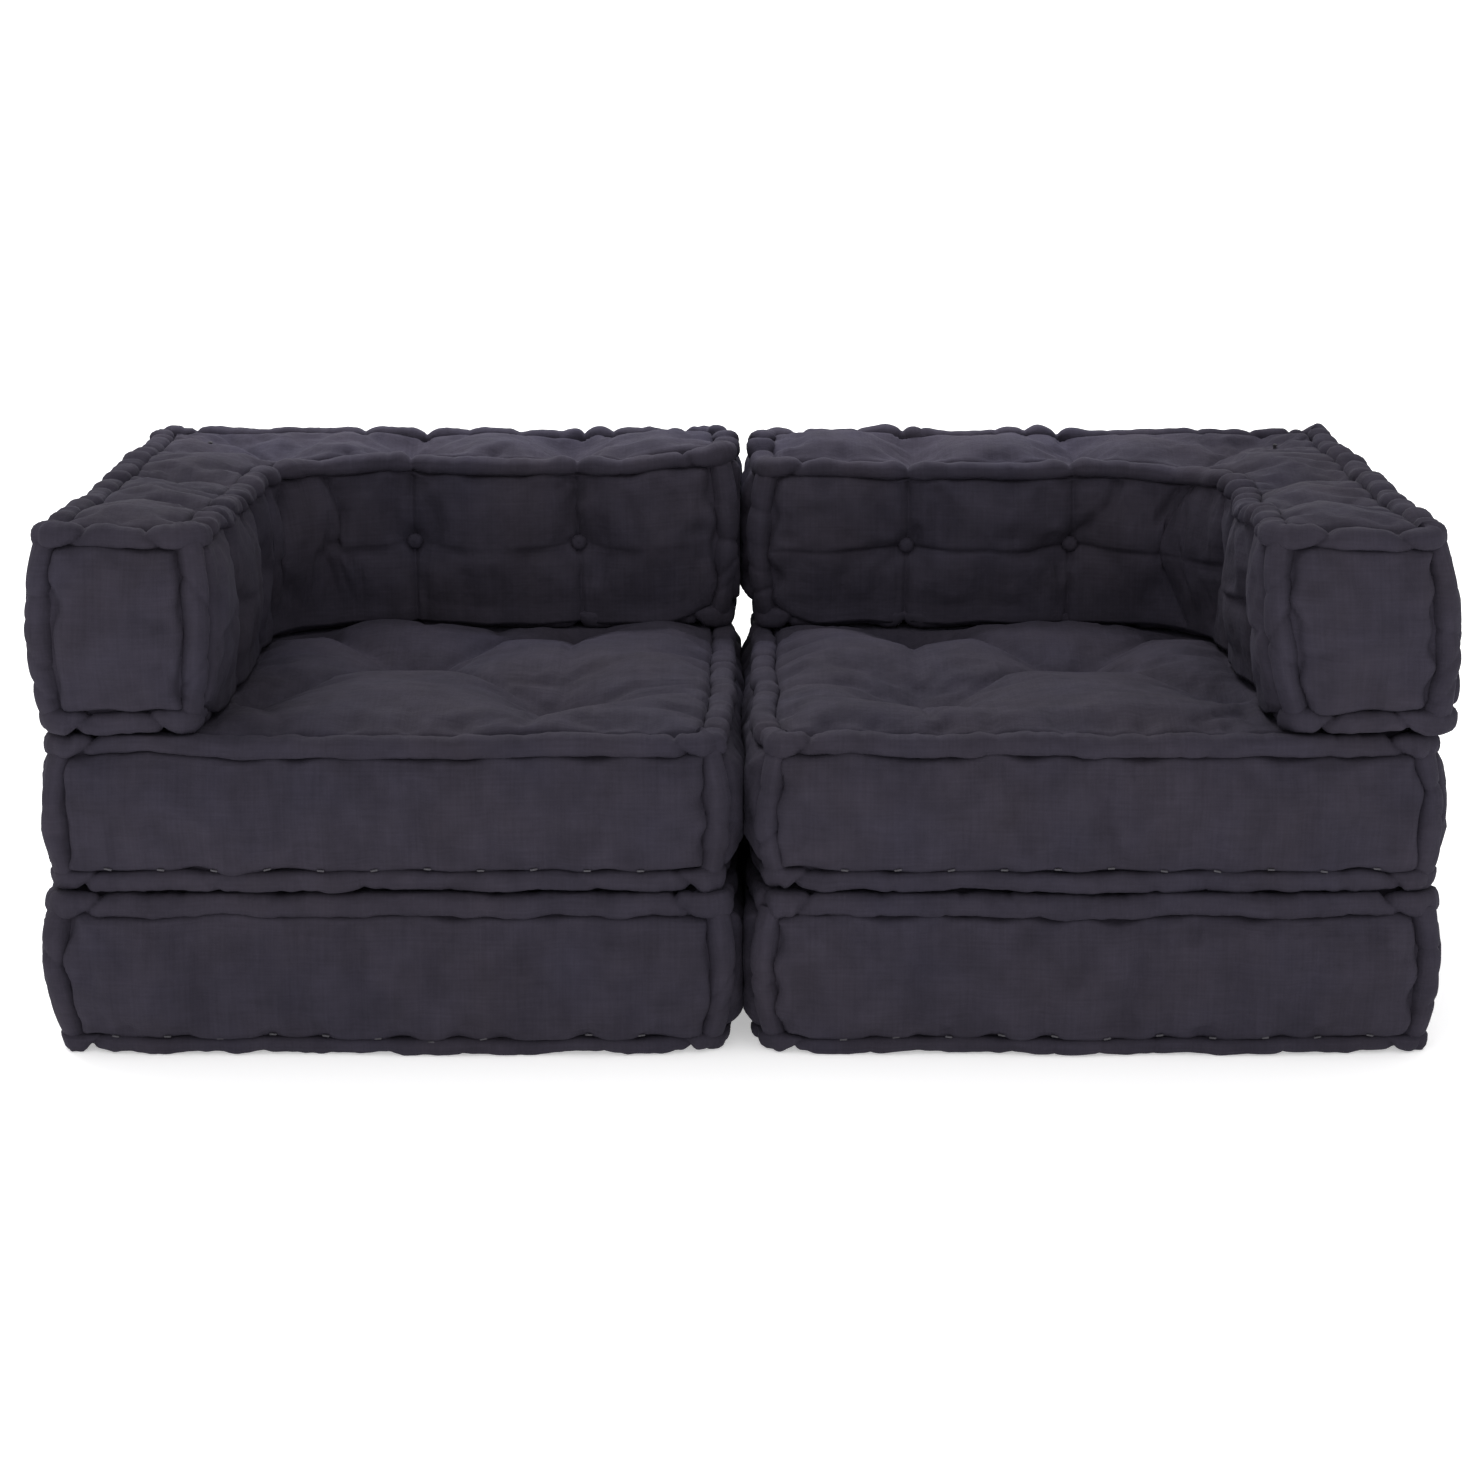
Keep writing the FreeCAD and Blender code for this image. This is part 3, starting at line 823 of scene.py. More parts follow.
def back_face_folds(cushion, s, up):
    """Depth of the creases and button tufts on the upright faces of the back, and the gap to a button."""
    rng = np.random.default_rng(cushion.seed + 30)
    path, middle = cushion.path, cushion.height / 2
    depth = np.zeros(len(s))
    button_gap = np.full(len(s), 1.0)
    column_gap = np.full(len(s), 1.0)
    beside_lower = bell(up - SIDE_FOLD_MIDDLE * middle, SIDE_FOLD_LENGTH * middle)
    for column in cushion.columns:
        slant = rng.normal(0, COLUMN_TILT)
        offset = path.gap(s, column) + slant * (up - middle)
        column_gap = np.minimum(column_gap, np.abs(offset))
        button_gap = np.minimum(button_gap, np.hypot(offset, up - middle))
        depth += crease(offset - SIDE_FOLD_OFFSET, SIDE_FOLD) * beside_lower
    depth += crease(column_gap, COLUMN_LINE) + crease(column_gap, COLUMN_CREASE)
    depth += crease(np.clip(button_gap - BUTTON_RADIUS, 0, None), BUTTON_TUFT)
    line = up - middle + LEVEL_SAG * (1 - bell(column_gap, LEVEL_SAG_REACH))
    puff = -LEVEL_PUFF * bell(line - LEVEL_PUFF_PLACE, LEVEL_PUFF_REACH)
    level_fold = crease(line, LEVEL_LINE) + np.where(line < 0, crease(line, LEVEL_STEP), puff)
    depth += LEVEL_FOLD[cushion.side] * bell(column_gap, LEVEL_LENGTH) * level_fold
    along = path.gap(s, path.corner_s[2])
    for fold in CORNER_FOLDS[cushion.side]:
        places, shares = zip(*fold)
        share = np.clip(up / cushion.height, min(shares), max(shares))
        curve = np.polyval(np.polyfit(shares, places, min(2, len(fold) - 1)), share)
        gap = np.hypot(along - curve, up - share * cushion.height)
        depth += crease(gap, CORNER_FOLD_LINE) + crease(gap, CORNER_FOLD_CREASE)
    return depth, button_gap


def cover_points(cushion, lines):
    """Points of a whole cover on a lattice, how firmly each is held, and the sheets of the lattice."""
    along, across, up, sides = lines
    sheets, count = box_skin(len(along) - 1, len(across) - 1, len(up) - 1)
    points, held = np.zeros((count, 3)), np.zeros(count)
    for level, name in enumerate(PANELS):
        edges = [cushion.edge_line(level, s)[0] for s in sides]
        flat = coons(along / along[-1], across / across[-1], *edges).reshape(-1, 3)
        numbers = sheets[name][0].ravel()
        points[numbers], held[numbers] = panel_points(cushion, level, flat)
    for name, s in zip(BORDERS, sides):
        numbers = sheets[name][0][:, 1:-1].ravel()
        grid_s, grid_t = np.meshgrid(s, up[1:-1] / up[-1], indexing="ij")
        points[numbers], held[numbers] = border_points(cushion, grid_s.ravel(), grid_t.ravel())
    return points, held, sheets


def sheet_quads(numbers, turned):
    """Quads of one sheet of a lattice."""
    corners = [numbers[:-1, :-1], numbers[1:, :-1], numbers[1:, 1:], numbers[:-1, 1:]]
    if turned:
        corners.reverse()
    return np.stack([corner.ravel() for corner in corners], axis=1)


def pressed_out(points, quads, held):
    """Movement of each point of a cover when its stuffing presses out, from a short cloth simulation."""
    scene = bpy.context.scene
    mesh = bpy.data.meshes.new("pressed")
    mesh.from_pydata(points, [], quads)
    piece = bpy.data.objects.new("pressed", mesh)
    scene.collection.objects.link(piece)
    group = piece.vertex_groups.new(name="held")
    group.add(np.flatnonzero(held > 0.5).tolist(), 1.0, "REPLACE")
    settings = piece.modifiers.new("pressed", "CLOTH").settings
    settings.quality = 6
    settings.mass = 0.2
    settings.tension_stiffness = 20
    settings.compression_stiffness = 20
    settings.shear_stiffness = 8
    settings.bending_stiffness = 0.3
    settings.use_pressure = True
    settings.uniform_pressure_force = PRESSURE
    settings.shrink_min = -SPARE_CLOTH
    settings.vertex_group_mass = "held"
    settings.effector_weights.gravity = 0
    for number in range(1, PRESSED_FRAMES + 1):
        scene.frame_set(number)
    settled = piece.evaluated_get(bpy.context.evaluated_depsgraph_get()).to_mesh()
    moved = np.empty(len(points) * 3)
    settled.vertices.foreach_get("co", moved)
    bpy.data.objects.remove(piece)
    bpy.data.meshes.remove(mesh)
    scene.frame_set(1)
    moves = moved.reshape(-1, 3) - points
    size = np.linalg.norm(moves, axis=1, keepdims=True)
    return moves * np.minimum(1, MOVE_CAP / np.maximum(size, 1e-9))


def blend_weights(coarse, fine):
    """Matrix that carries values at coarse places to fine places along smooth curves."""
    place = np.interp(fine, coarse, np.arange(len(coarse)))
    base = np.clip(np.floor(place).astype(int), 0, len(coarse) - 2)
    f = place - base
    shares = [
        -0.5 * f + f ** 2 - 0.5 * f ** 3,
        1 - 2.5 * f ** 2 + 1.5 * f ** 3,
        0.5 * f + 2 * f ** 2 - 1.5 * f ** 3,
        -0.5 * f ** 2 + 0.5 * f ** 3,
    ]
    weights = np.zeros((len(fine), len(coarse)))
    for step, share in enumerate(shares):
        column = np.clip(base + step - 1, 0, len(coarse) - 1)
        np.add.at(weights, (np.arange(len(fine)), column), share)
    return weights


def swell_of_stuffing(cushion, fine_lines, fine_sheets, count):
    """Movement of each point of a fine cover, carried over from its simulated coarse copy."""
    lines = lattice_lines(cushion, PRESSED_CELL, PRESSED_CELL)
    points, held, sheets = cover_points(cushion, lines)
    quads = np.concatenate([sheet_quads(*sheet) for sheet in sheets.values()])
    moves = pressed_out(points, quads, held)
    weights = [blend_weights(coarse, fine) for coarse, fine in zip(lines[:3], fine_lines[:3])]
    result = np.zeros((count, 3))
    for name, (numbers, turned) in sheets.items():
        first, second = (weights[way] for way in SHEET_WAYS[name])
        spread = np.einsum("ai,bj,ijk->abk", first, second, moves[numbers], optimize=True)
        result[fine_sheets[name][0].ravel()] = spread.reshape(-1, 3)
    return result


def make_piece(name, cushion, points, quads, uv, material):
    """Smooth mesh object from module-local points, kept to its own side and set in its place in the row."""
    wave = FACING_WAVE * np.sin(points[:, 1] * 2 * math.pi / FACING_WAVE_LENGTH)
    kept = np.minimum(points[:, 0], abs(cushion.centre_x) + cushion.mirror * wave - FACING_GAP)
    placed = np.column_stack([cushion.centre_x + cushion.mirror * kept, points[:, 1:]])
    if cushion.mirror < 0:
        quads, uv = quads[:, ::-1], uv[:, ::-1]
    mesh = bpy.data.meshes.new(name)
    mesh.from_pydata(placed, [], quads, shade_flat=False)
    layer = mesh.uv_layers.new(name="cloth")
    layer.data.foreach_set("uv", np.ascontiguousarray(uv, dtype=np.float32).ravel())
    mesh.materials.append(material)
    piece = bpy.data.objects.new(name, mesh)
    bpy.context.scene.collection.objects.link(piece)
    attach(piece, cushion.name)
    return piece


def make_cover(cushion, material):
    """Sewn cover of a cushion: two panels and the border between them, drawn in at the seams and tufts."""
    lines = lattice_lines(cushion, SEAM_CELL, COVER_CELL)
    points, held, sheets = cover_points(cushion, lines)
    points += swell_of_stuffing(cushion, lines, sheets, len(points))
    quads, uv = [], []
    for name, (numbers, turned) in sheets.items():
        faces = sheet_quads(numbers, turned)
        if name in PANELS:
            place = points[:, :2][numbers]
        else:
            place = np.stack(np.meshgrid(lines[3][BORDERS.index(name)], lines[2], indexing="ij"), axis=2)
        flat = np.zeros((len(points), 2))
        flat[numbers.ravel()] = place.reshape(-1, 2)
        quads.append(faces)
        uv.append(flat[faces])
    name = f"{cushion.name}_cover"
    piece = make_piece(f"{name}_cloth", cushion, points, np.concatenate(quads), np.concatenate(uv), material)
    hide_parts(name, f"{cushion.name}_filling")


def tube(centres, outward, across, radius, lengths, closed):
    """Tube of given radii (rings by sides) round a line of centres, with its quads and cloth coordinates.

    The first side looks outward, and the one a quarter turn on looks across.
    """
    rings, sides = radius.shape
    angles = np.arange(sides) * 2 * math.pi / sides
    cos, sin = np.cos(angles)[None, :, None], np.sin(angles)[None, :, None]
    outward, across = (np.broadcast_to(way, centres.shape)[:, None, :] for way in (outward, across))
    spokes = outward * cos + across * sin
    points = (centres[:, None, :] + spokes * radius[:, :, None]).reshape(-1, 3)
    ring, side = np.meshgrid(np.arange(rings if closed else rings - 1), np.arange(sides), indexing="ij")
    ring, side = ring.ravel(), side.ravel()
    next_ring, next_side = (ring + 1) % rings, (side + 1) % sides
    quads = np.stack([
        ring * sides + side, next_ring * sides + side, next_ring * sides + next_side, ring * sides + next_side
    ], axis=1)
    girth = 2 * math.pi * radius.mean() / sides
    step = lengths[1] - lengths[0]
    s0, s1, g0, g1 = lengths[ring], lengths[ring] + step, side * girth, (side + 1) * girth
    uv = np.stack([np.stack(pair, axis=1) for pair in ((s0, g0), (s1, g0), (s1, g1), (s0, g1))], axis=1)
    return points, quads, uv


def roll_angles():
    """Angles of the sides of a roll, from straight out."""
    return np.arange(ROLL_SIDES) * 2 * math.pi / ROLL_SIDES


def roll_section(angles, out, back, up, down):
    """Reach of a roll's section at angles from straight out, given its reach out, back, up and down."""
    cos, sin = np.cos(angles), np.sin(angles)
    sideways = np.abs(cos / np.where(cos > 0, out, back)) ** ROLL_POWER
    upward = np.abs(sin / np.where(sin > 0, up, down)) ** ROLL_POWER
    return (sideways + upward) ** (-1 / ROLL_POWER)


def roll_field(cushion, lengths):
    """Places on the skin of a roll, ring by ring, for its random unevenness."""
    turn = np.tile(roll_angles(), len(lengths))
    around = cushion.roll * np.column_stack([np.cos(turn), np.sin(turn)])
    return np.column_stack([np.repeat(lengths, ROLL_SIDES), around])


def pinched_radius(cushion, level, s):
    """Radii of an edge roll: swollen between its stitches, creased at them, and knotted at the corners."""
    path, roll = cushion.path, cushion.roll
    angles = roll_angles()
    share = np.ones((len(s), ROLL_SIDES))
    tilt = roll * np.sin(angles)[None, :]
    for place, power, slant in zip(*cushion.stitches[level]):
        near = np.abs(path.gap(s, place)) < STITCH_REACH
        offset = path.gap(s[near], place)[:, None] + slant * tilt
        share[near] -= power * crease(offset, ROLL_PINCH)
        share[near] += ROLL_BULGE * power * bell(np.abs(offset) - ROLL_BULGE_PLACE, ROLL_BULGE_REACH)
    for corner in path.outward_s:
        offset = path.gap(s, corner)[:, None]
        share += CORNER_KNOT * bell(offset, CORNER_KNOT_REACH)
        for way in (-1, 1):
            share -= crease(offset - way * (CORNER_PINCH_PLACE + CORNER_PINCH_SLANT * tilt), CORNER_PINCH)
    share = np.maximum(share, LEAST_SHARE)
    field = roll_field(cushion, s)
    uneven = ripple(field, ROLL_RIPPLE, cushion.seed + 40 + level)
    crimp = ripple(field * CRIMP_STRETCH, ROLL_CRIMP, cushion.seed + 42 + level)
    gathered = 1 + CORNER_GATHER * np.repeat(bell(path.corner_gap(s), CORNER_GATHER_REACH), ROLL_SIDES)
    tuck = np.maximum(cushion.tuck(level, s), LEAST_TUCK)[:, None]
    out = 1 - INNER_THINNER * (1 - level) * cushion.inner_share(s)[:, None]
    reaches = (1.0, tuck) if level else (tuck, 1.0)
    section = roll_section(angles[None, :], out, PANEL_TUCK, *reaches)
    return roll * (share + (uneven + crimp * gathered).reshape(share.shape)) * section


def add_roll(cushion, name, mesh, material):
    """Adds an edge roll or a set of upright rolls in place of its solids."""
    node = f"{cushion.name}_{name}"
    piece = make_piece(f"{node}_cloth", cushion, *mesh, material)
    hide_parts(node)


def make_edge_roll(cushion, level, material):
    """The puckered roll along the bottom (0) or the top (1) edge of a cushion."""
    count = round(cushion.path.length / ROLL_STEP)
    s = np.arange(count) * cushion.path.length / count
    centres, flat_outward = cushion.edge_line(level, s)
    outward = np.column_stack([flat_outward, np.zeros(count)])
    radius = pinched_radius(cushion, level, s)
    points, quads, uv = tube(centres, outward, UP, radius, s, True)
    pressed_flat(cushion, level, points)
    add_roll(cushion, f"{PANELS[level]}_roll", (points, quads, uv), material)


def upright_roll(cushion, corner, seed):
    """One upright roll between the edge rolls at a corner, bowed out half-way up."""
    rng = np.random.default_rng(seed)
    angles = roll_angles()
    low, out = (found[0] for found in cushion.edge_line(0, np.array([corner])))
    high = cushion.edge_line(1, np.array([corner]))[0][0]
    rings = round(cushion.height / ROLL_STEP)
    t = np.linspace(0, 1, rings)
    up = t * cushion.height
    outward = np.array([*out, 0.0])
    across = np.array([-out[1], out[0], 0.0])
    centres = low + (high - low) * t[:, None] + outward * upright_bow(cushion, t)[:, None]
    share = np.ones((rings, ROLL_SIDES))
    tilt = cushion.roll * np.sin(angles)[None, :]
    for place in np.arange(UPRIGHT_FIRST, cushion.height - UPRIGHT_LAST, UPRIGHT_PITCH):
        power = rng.uniform(*UPRIGHT_POWERS)
        slant = rng.normal(0, UPRIGHT_SLANT)
        shift = rng.uniform(-UPRIGHT_STRAY, UPRIGHT_STRAY)
        share -= power * crease(up[:, None] - place - shift + slant * tilt, UPRIGHT_PINCH)
    share += ripple(roll_field(cushion, up), UPRIGHT_RIPPLE, seed).reshape(share.shape)
    section = roll_section(angles, 1.0, PANEL_TUCK, UPRIGHT_TUCK, UPRIGHT_TUCK)
    return tube(centres, outward, across, cushion.roll * share * section[None, :], up, False)


def make_corner_rolls(cushion, material):
    """The upright rolls at the outward corners."""
    corners = cushion.path.outward_s
    parts = [upright_roll(cushion, corner, cushion.seed + 50 + i) for i, corner in enumerate(corners)]
    add_roll(cushion, "corner_rolls", joined(parts), material)


def joined(parts):
    """Points, quads and cloth coordinates of several meshes as one."""
    starts = np.cumsum([0] + [len(points) for points, quads, uv in parts[:-1]])
    return (
        np.concatenate([points for points, quads, uv in parts]),
        np.concatenate([quads + start for start, (points, quads, uv) in zip(starts, parts)]),
        np.concatenate([uv for points, quads, uv in parts]),
    )


def strand(start, end, radius, sides, bulge):
    """Short straight thread between two points, with round ends, and thicker at its ends by the bulge."""
    askew = [0.31, 0.52, 0.79]
    end_rings = 6
    end_length = 2 * radius
    bulge_reach = 0.8
    least_girth = 0.0004
    way = end - start
    length = np.linalg.norm(way)
    way = way / length
    side = np.cross(way, askew)
    side /= np.linalg.norm(side)
    end_places = np.linspace(0, 1, end_rings) * end_length
    places = np.concatenate([end_places, length - end_places[::-1]])
    near_end = np.minimum(places, length - places) / radius
    girth = radius * np.sqrt(np.clip(1 - (1 - np.clip(near_end, 0, 1)) ** 2, least_girth, 1))
    girth = girth * (1 + bulge * bell(near_end - 1, bulge_reach))
    girths = np.tile(girth[:, None], (1, sides))
    centres = start + way * places[:, None]
    return tube(centres, side, np.cross(way, side), girths, np.linspace(0, length, len(places)), False)


def make_stitches(cushion, material):
    """Short light thread stitches along the lower seam of a base or a seat."""
    s = np.arange(THREAD_FIRST, cushion.path.length, THREAD_PITCH)
    s = s[cushion.path.corner_gap(s) > THREAD_CORNER]
    rng = np.random.default_rng(cushion.seed + 60)
    heights = cushion.border_seam(0, s) + THREAD_RISE
    parts = []
    for place, height, drop in zip(s, heights, rng.uniform(-THREAD_STRAY, THREAD_STRAY, len(s))):
        ends = np.array([place - THREAD_LENGTH / 2, place + THREAD_LENGTH / 2])
        share = np.array([height + drop, height - drop]) / cushion.height
        points = border_points(cushion, ends, share)[0]
        outward = np.column_stack([cushion.path.at(ends)[1], [0, 0]])
        lifted = points + outward * THREAD_RADIUS * THREAD_LIFT
        parts.append(strand(lifted[0], lifted[1], THREAD_RADIUS, THREAD_SIDES, 0.0))
    piece = make_piece(f"{cushion.name}_stitches", cushion, *joined(parts), material)


def make_ties(cushion, material):
    """The twine that draws the tufts in, knotted at both ends."""
    flat = np.array([[x, y, 0.0] for x, y in cushion.tufts])
    ends = []
    for level in (0, 1):
        flat[:, 2] = cushion.seams[level]
        ends.append(panel_points(cushion, level, flat)[0])
    pairs = list(zip(*ends))
    if cushion.kind == "back":
        middle = np.full(len(cushion.columns), 0.5)
        places = border_points(cushion, np.array(cushion.columns), middle)[0]
        pairs += list(zip(places[:4], places[4:]))
    parts = [strand(start, end, TWINE_RADIUS, TWINE_SIDES, TWINE_KNOT) for start, end in pairs]
    piece = make_piece(f"{cushion.name}_twine", cushion, *joined(parts), material)
    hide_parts(f"{cushion.name}_tuft_ties")


def button(place, outward):
    """One cloth-covered button: a low dome with gathered cloth round its rim."""
    sides = 32
    rings = 12
    gathers = 9
    gather_depth = 0.030
    roundness = 0.8
    rim_turn = -0.9
    crown_turn = math.pi / 2 - 0.02
    angles = np.arange(sides) * 2 * math.pi / sides
    turn = np.linspace(rim_turn, crown_turn, rings)
    width = BUTTON_RADIUS * np.cos(turn) ** roundness
    height = BUTTON_RISE * np.sin(turn)
    gathered = 1 + gather_depth * np.cos(gathers * angles)[None, :] * np.cos(turn)[:, None] ** 2
    side = np.array([-outward[1], outward[0], 0.0])
    centres = place + outward * height[:, None]
    return tube(centres, side, UP, width[:, None] * gathered, np.linspace(0, BUTTON_RADIUS, rings), False)


def make_buttons(cushion, material):
    """The cloth-covered buttons on the inner and the outer faces of a back."""
    rim_places = 8
    s = np.array(cushion.columns)
    turns = np.arange(rim_places) * 2 * math.pi / rim_places
    rim = [
        border_points(cushion, s + along, np.full(len(s), 0.5 + up / cushion.height))[0]
        for along, up in zip(BUTTON_RADIUS * np.cos(turns), BUTTON_RADIUS * np.sin(turns))
    ]
    outward = np.column_stack([cushion.path.at(s)[1], np.zeros(len(s))])
    parts = [button(place + way * BUTTON_LIFT, way) for place, way in zip(np.mean(rim, axis=0), outward)]
    name = f"{cushion.name}_buttons"
    piece = make_piece(f"{name}_cloth", cushion, *joined(parts), material)
    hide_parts(name)


def add_node(tree, kind, values, **settings):
    """Shader node with some of its sockets and settings set."""
    node = tree.nodes.new(kind)
    for name, value in settings.items():
        setattr(node, name, value)
    for name, value in values.items():
        node.inputs[name].default_value = value
    return node


def spread_noise(tree, place, stretch, detail):
    """Noise over cloth or object coordinates, with its own stretch along each of them."""
    mapping = add_node(tree, "ShaderNodeMapping", {"Scale": stretch})
    noise = add_node(tree, "ShaderNodeTexNoise", {"Scale": 1.0, "Detail": detail, "Roughness": 0.55})
    tree.links.new(place, mapping.inputs["Vector"])
    tree.links.new(mapping.outputs["Vector"], noise.inputs["Vector"])
    return noise.outputs["Fac"]


def even_noise(tree, place, waves, detail):
    """Noise with the same number of waves per metre in every direction."""
    return spread_noise(tree, place, (waves, waves, waves), detail)


def mapped(tree, value, start, end, low, high):
    """Value between start and end carried to the range from low to high."""
    limits = {"From Min": start, "From Max": end, "To Min": low, "To Max": high}
    node = add_node(tree, "ShaderNodeMapRange", limits)
    tree.links.new(value, node.inputs["Value"])
    return node.outputs["Result"]


def ranged(tree, noise, low, high):
    """Noise, which is mostly between 0.3 and 0.7, carried to the range from low to high."""
    return mapped(tree, noise, 0.3, 0.7, low, high)


def combined(tree, operation, a, b):
    """Result of one operation on two values, such as their product or the larger of them."""
    node = add_node(tree, "ShaderNodeMath", {}, operation=operation)
    tree.links.new(a, node.inputs[0])
    tree.links.new(b, node.inputs[1])
    return node.outputs["Value"]


def added_bump(tree, height, strength, distance, below):
    """Bump over another bump."""
    bump = add_node(tree, "ShaderNodeBump", {"Strength": strength, "Distance": distance})
    tree.links.new(height, bump.inputs["Height"])
    if below:
        tree.links.new(below, bump.inputs["Normal"])
    return bump.outputs["Normal"]


def new_material(name):
    """New material, with its node tree and its shader."""
    material = bpy.data.materials.new(name)
    material.use_nodes = True
    return material, material.node_tree, material.node_tree.nodes["Principled BSDF"]


def cotton(name, cool, warm):
    """Matte dyed cotton: plain weave, slubs both ways, uneven dye, small creases and a soft nap."""
    material, tree, shader = new_material(name)
    place = add_node(tree, "ShaderNodeTexCoord", {})
    cloth, body = place.outputs["UV"], place.outputs["Object"]

    dye = add_node(tree, "ShaderNodeMix", {}, data_type="RGBA")
    dye.inputs["A"].default_value = (*cool, 1)
    dye.inputs["B"].default_value = (*warm, 1)
    tree.links.new(ranged(tree, even_noise(tree, body, DYE_WAVES, 3.0), 0.0, 1.0), dye.inputs["Factor"])
    slubs = combined(
        tree, "MULTIPLY",
        ranged(tree, spread_noise(tree, cloth, (SLUB_ALONG, SLUB_ACROSS, 1), 2.0), *SLUB_RANGE),
        ranged(tree, spread_noise(tree, cloth, (SLUB_ACROSS, SLUB_ALONG, 1), 2.0), *SLUB_RANGE),
    )
    patches = ranged(tree, even_noise(tree, body, PATCH_WAVES, 4.0), *PATCH_RANGE)
    shade = add_node(tree, "ShaderNodeVectorMath", {}, operation="SCALE")
    tree.links.new(dye.outputs["Result"], shade.inputs[0])
    tree.links.new(combined(tree, "MULTIPLY", slubs, patches), shade.inputs["Scale"])
    tree.links.new(shade.outputs["Vector"], shader.inputs["Base Color"])

    weave = []
    for direction in ("X", "Y"):
        wave = add_node(tree, "ShaderNodeTexWave", WEAVE, bands_direction=direction)
        tree.links.new(cloth, wave.inputs["Vector"])
        weave.append(wave.outputs["Fac"])
    woven = added_bump(tree, combined(tree, "MULTIPLY", *weave), *WEAVE_BUMP, None)
    slubbed = added_bump(tree, slubs, *SLUB_BUMP, woven)
    creased = added_bump(tree, even_noise(tree, body, CREASE_WAVES, 4.0), *CREASE_BUMP, slubbed)
    tree.links.new(creased, shader.inputs["Normal"])
    nap = ranged(tree, even_noise(tree, body, NAP_WAVES, 3.0), *NAP_RANGE)
    tree.links.new(nap, shader.inputs["Roughness"])
    shader.inputs["Specular IOR Level"].default_value = 0.10
    shader.inputs["Sheen Weight"].default_value = 0.025
    shader.inputs["Sheen Roughness"].default_value = 0.4
    shader.inputs["Sheen Tint"].default_value = (0.62, 0.60, 0.85, 1)
    return material


def thread(name, colour):
    """Twisted thread: slanting strands, uneven dye and a dull gloss."""
    material, tree, shader = new_material(name)
    place = add_node(tree, "ShaderNodeTexCoord", {})
    twist = add_node(tree, "ShaderNodeTexWave", TWIST, bands_direction="DIAGONAL")
    tree.links.new(place.outputs["UV"], twist.inputs["Vector"])
    noise = even_noise(tree, place.outputs["Object"], THREAD_PATCH_WAVES, 3.0)
    patches = ranged(tree, noise, *THREAD_PATCH_RANGE)
    shade = add_node(tree, "ShaderNodeVectorMath", {}, operation="SCALE")
    shade.inputs[0].default_value = colour
    tree.links.new(patches, shade.inputs["Scale"])
    tree.links.new(shade.outputs["Vector"], shader.inputs["Base Color"])
    tree.links.new(added_bump(tree, twist.outputs["Fac"], *TWIST_BUMP, None), shader.inputs["Normal"])
    tree.links.new(ranged(tree, twist.outputs["Fac"], *THREAD_ROUGHNESS), shader.inputs["Roughness"])
    return material


def make_floor():
    """Wide pale floor that glows a little, as a lit studio floor does."""
    reach = 400.0
    mesh = bpy.data.meshes.new("floor")
    corners = [(-reach, -reach, 0), (reach, -reach, 0), (reach, reach, 0), (-reach, reach, 0)]
    mesh.from_pydata(corners, [], [(0, 1, 2, 3)])
    floor = bpy.data.objects.new("floor", mesh)
    bpy.context.scene.collection.objects.link(floor)
    white, tree, shader = new_material("floor_white")
    shader.inputs["Base Color"].default_value = (0.92, 0.915, 0.92, 1)
    shader.inputs["Roughness"].default_value = 0.9
    shader.inputs["Emission Color"].default_value = (1, 1, 1, 1)
    shader.inputs["Emission Strength"].default_value = 0.42
    mesh.materials.append(white)


def make_dome():
    """White dome that is darker high up at its two sides, and pale all round the horizon."""
    world = bpy.data.worlds.new("studio")
    world.use_nodes = True
    tree = world.node_tree
    background = tree.nodes["Background"]
    background.inputs["Strength"].default_value = 1.0
    place = add_node(tree, "ShaderNodeTexCoord", {})
    split = add_node(tree, "ShaderNodeSeparateXYZ", {})
    tree.links.new(place.outputs["Generated"], split.inputs["Vector"])
    x = split.outputs["X"]
    sides = mapped(tree, combined(tree, "MULTIPLY", x, x), 0.0, 1.0, 1.35, 0.0)
    horizon = mapped(tree, split.outputs["Z"], 0.12, 0.25, 1.0, 0.0)
    tree.links.new(combined(tree, "MAXIMUM", sides, horizon), background.inputs["Color"])
    bpy.context.scene.world = world


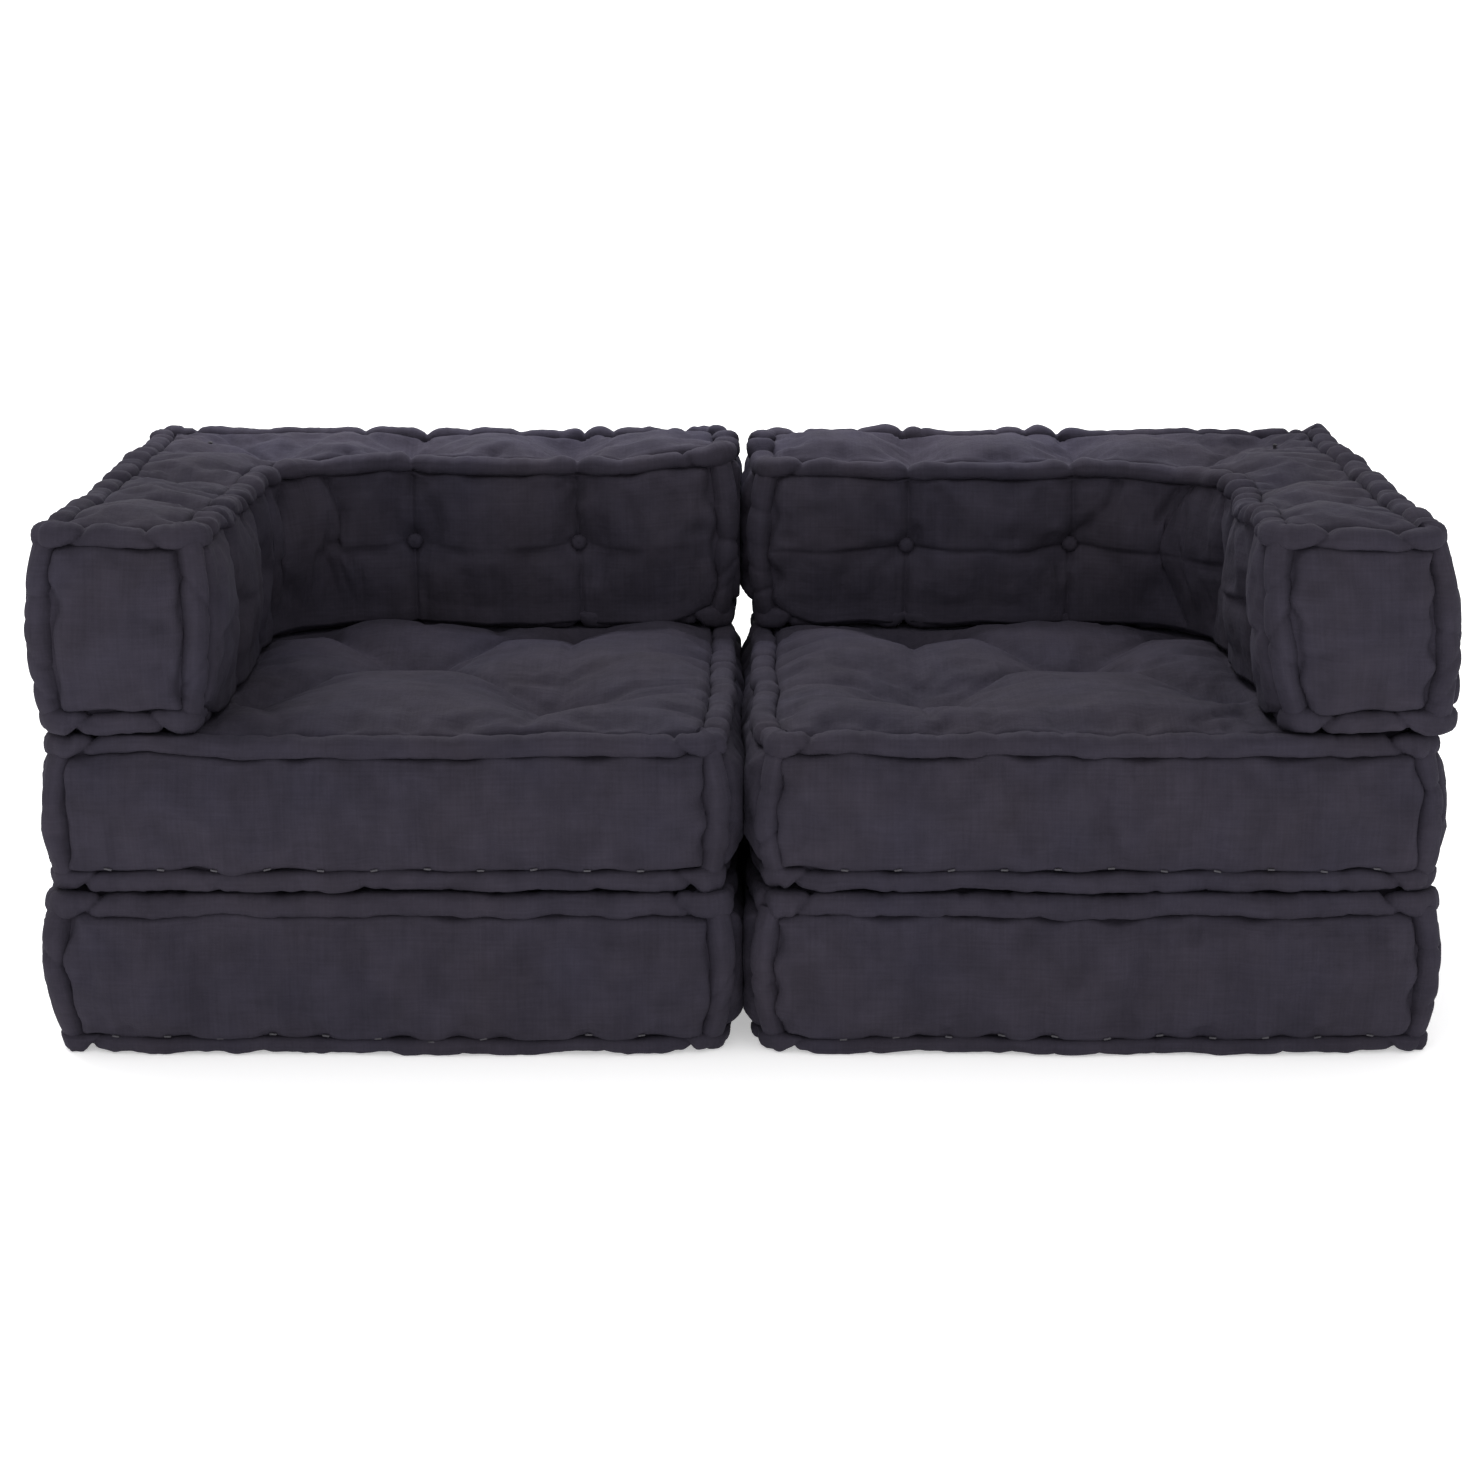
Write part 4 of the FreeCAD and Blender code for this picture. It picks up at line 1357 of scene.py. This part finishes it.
def make_lamps():
    """Soft light over the backs, and a wide soft sun from behind on the left."""
    softbox = bpy.data.lights.new("overhead_softbox", "AREA")
    softbox.shape = "RECTANGLE"
    softbox.size, softbox.size_y = 1.2, 0.3
    softbox.spread = math.radians(32)
    softbox.energy = 1.6
    softbox.color = (0.88, 0.88, 1.0)
    lamp = bpy.data.objects.new("overhead_softbox", softbox)
    lamp.location = (-0.10, 0.60, 1.26)
    lamp.rotation_euler = (math.radians(-18), 0, 0)
    bpy.context.scene.collection.objects.link(lamp)

    sun = bpy.data.lights.new("soft_sun", "SUN")
    sun.energy = 1.6
    sun.angle = math.radians(30)
    lamp = bpy.data.objects.new("soft_sun", sun)
    lamp.rotation_euler = (math.radians(-40), 0, math.radians(35))
    bpy.context.scene.collection.objects.link(lamp)


def make_camera():
    """Camera at the photograph's viewing angle, as fitted to the corners of the cushions."""
    frame_pixels, focal_pixels = 1480, 3222
    middle_x, middle_y = 742.6, 667.0
    pitch = 12.52
    camera = bpy.data.cameras.new("camera")
    camera.sensor_width = 36.0
    camera.lens = focal_pixels / frame_pixels * camera.sensor_width
    camera.shift_x = (frame_pixels / 2 - middle_x) / frame_pixels
    camera.shift_y = (middle_y - frame_pixels / 2) / frame_pixels
    eye = bpy.data.objects.new("camera", camera)
    eye.location = (0.0, -3.363, 1.066)
    eye.rotation_euler = (math.radians(90 - pitch), 0, 0)
    bpy.context.scene.collection.objects.link(eye)
    bpy.context.scene.camera = eye


def make_module(side, seed, cloth, light_thread, dark_twine):
    """The three cushions of one module."""
    for number, kind in enumerate(("base", "seat", "back")):
        cushion = Cushion(side, kind, seed + number)
        make_cover(cushion, cloth)
        make_edge_roll(cushion, 0, cloth)
        make_edge_roll(cushion, 1, cloth)
        make_corner_rolls(cushion, cloth)
        make_ties(cushion, dark_twine)
        if kind == "back":
            make_buttons(cushion, cloth)
        else:
            make_stitches(cushion, light_thread)


cloth = cotton("anthracite_cotton", (0.0279, 0.0252, 0.0372), (0.0307, 0.0267, 0.0366))
light_thread = thread("grey_thread", (0.050, 0.047, 0.056))
dark_twine = thread("dark_twine", (0.030, 0.028, 0.034))
make_module("left", 1, cloth, light_thread, dark_twine)
make_module("right", 4, cloth, light_thread, dark_twine)
make_floor()
make_dome()
make_lamps()
make_camera()
bpy.context.scene.view_settings.view_transform = "Standard"
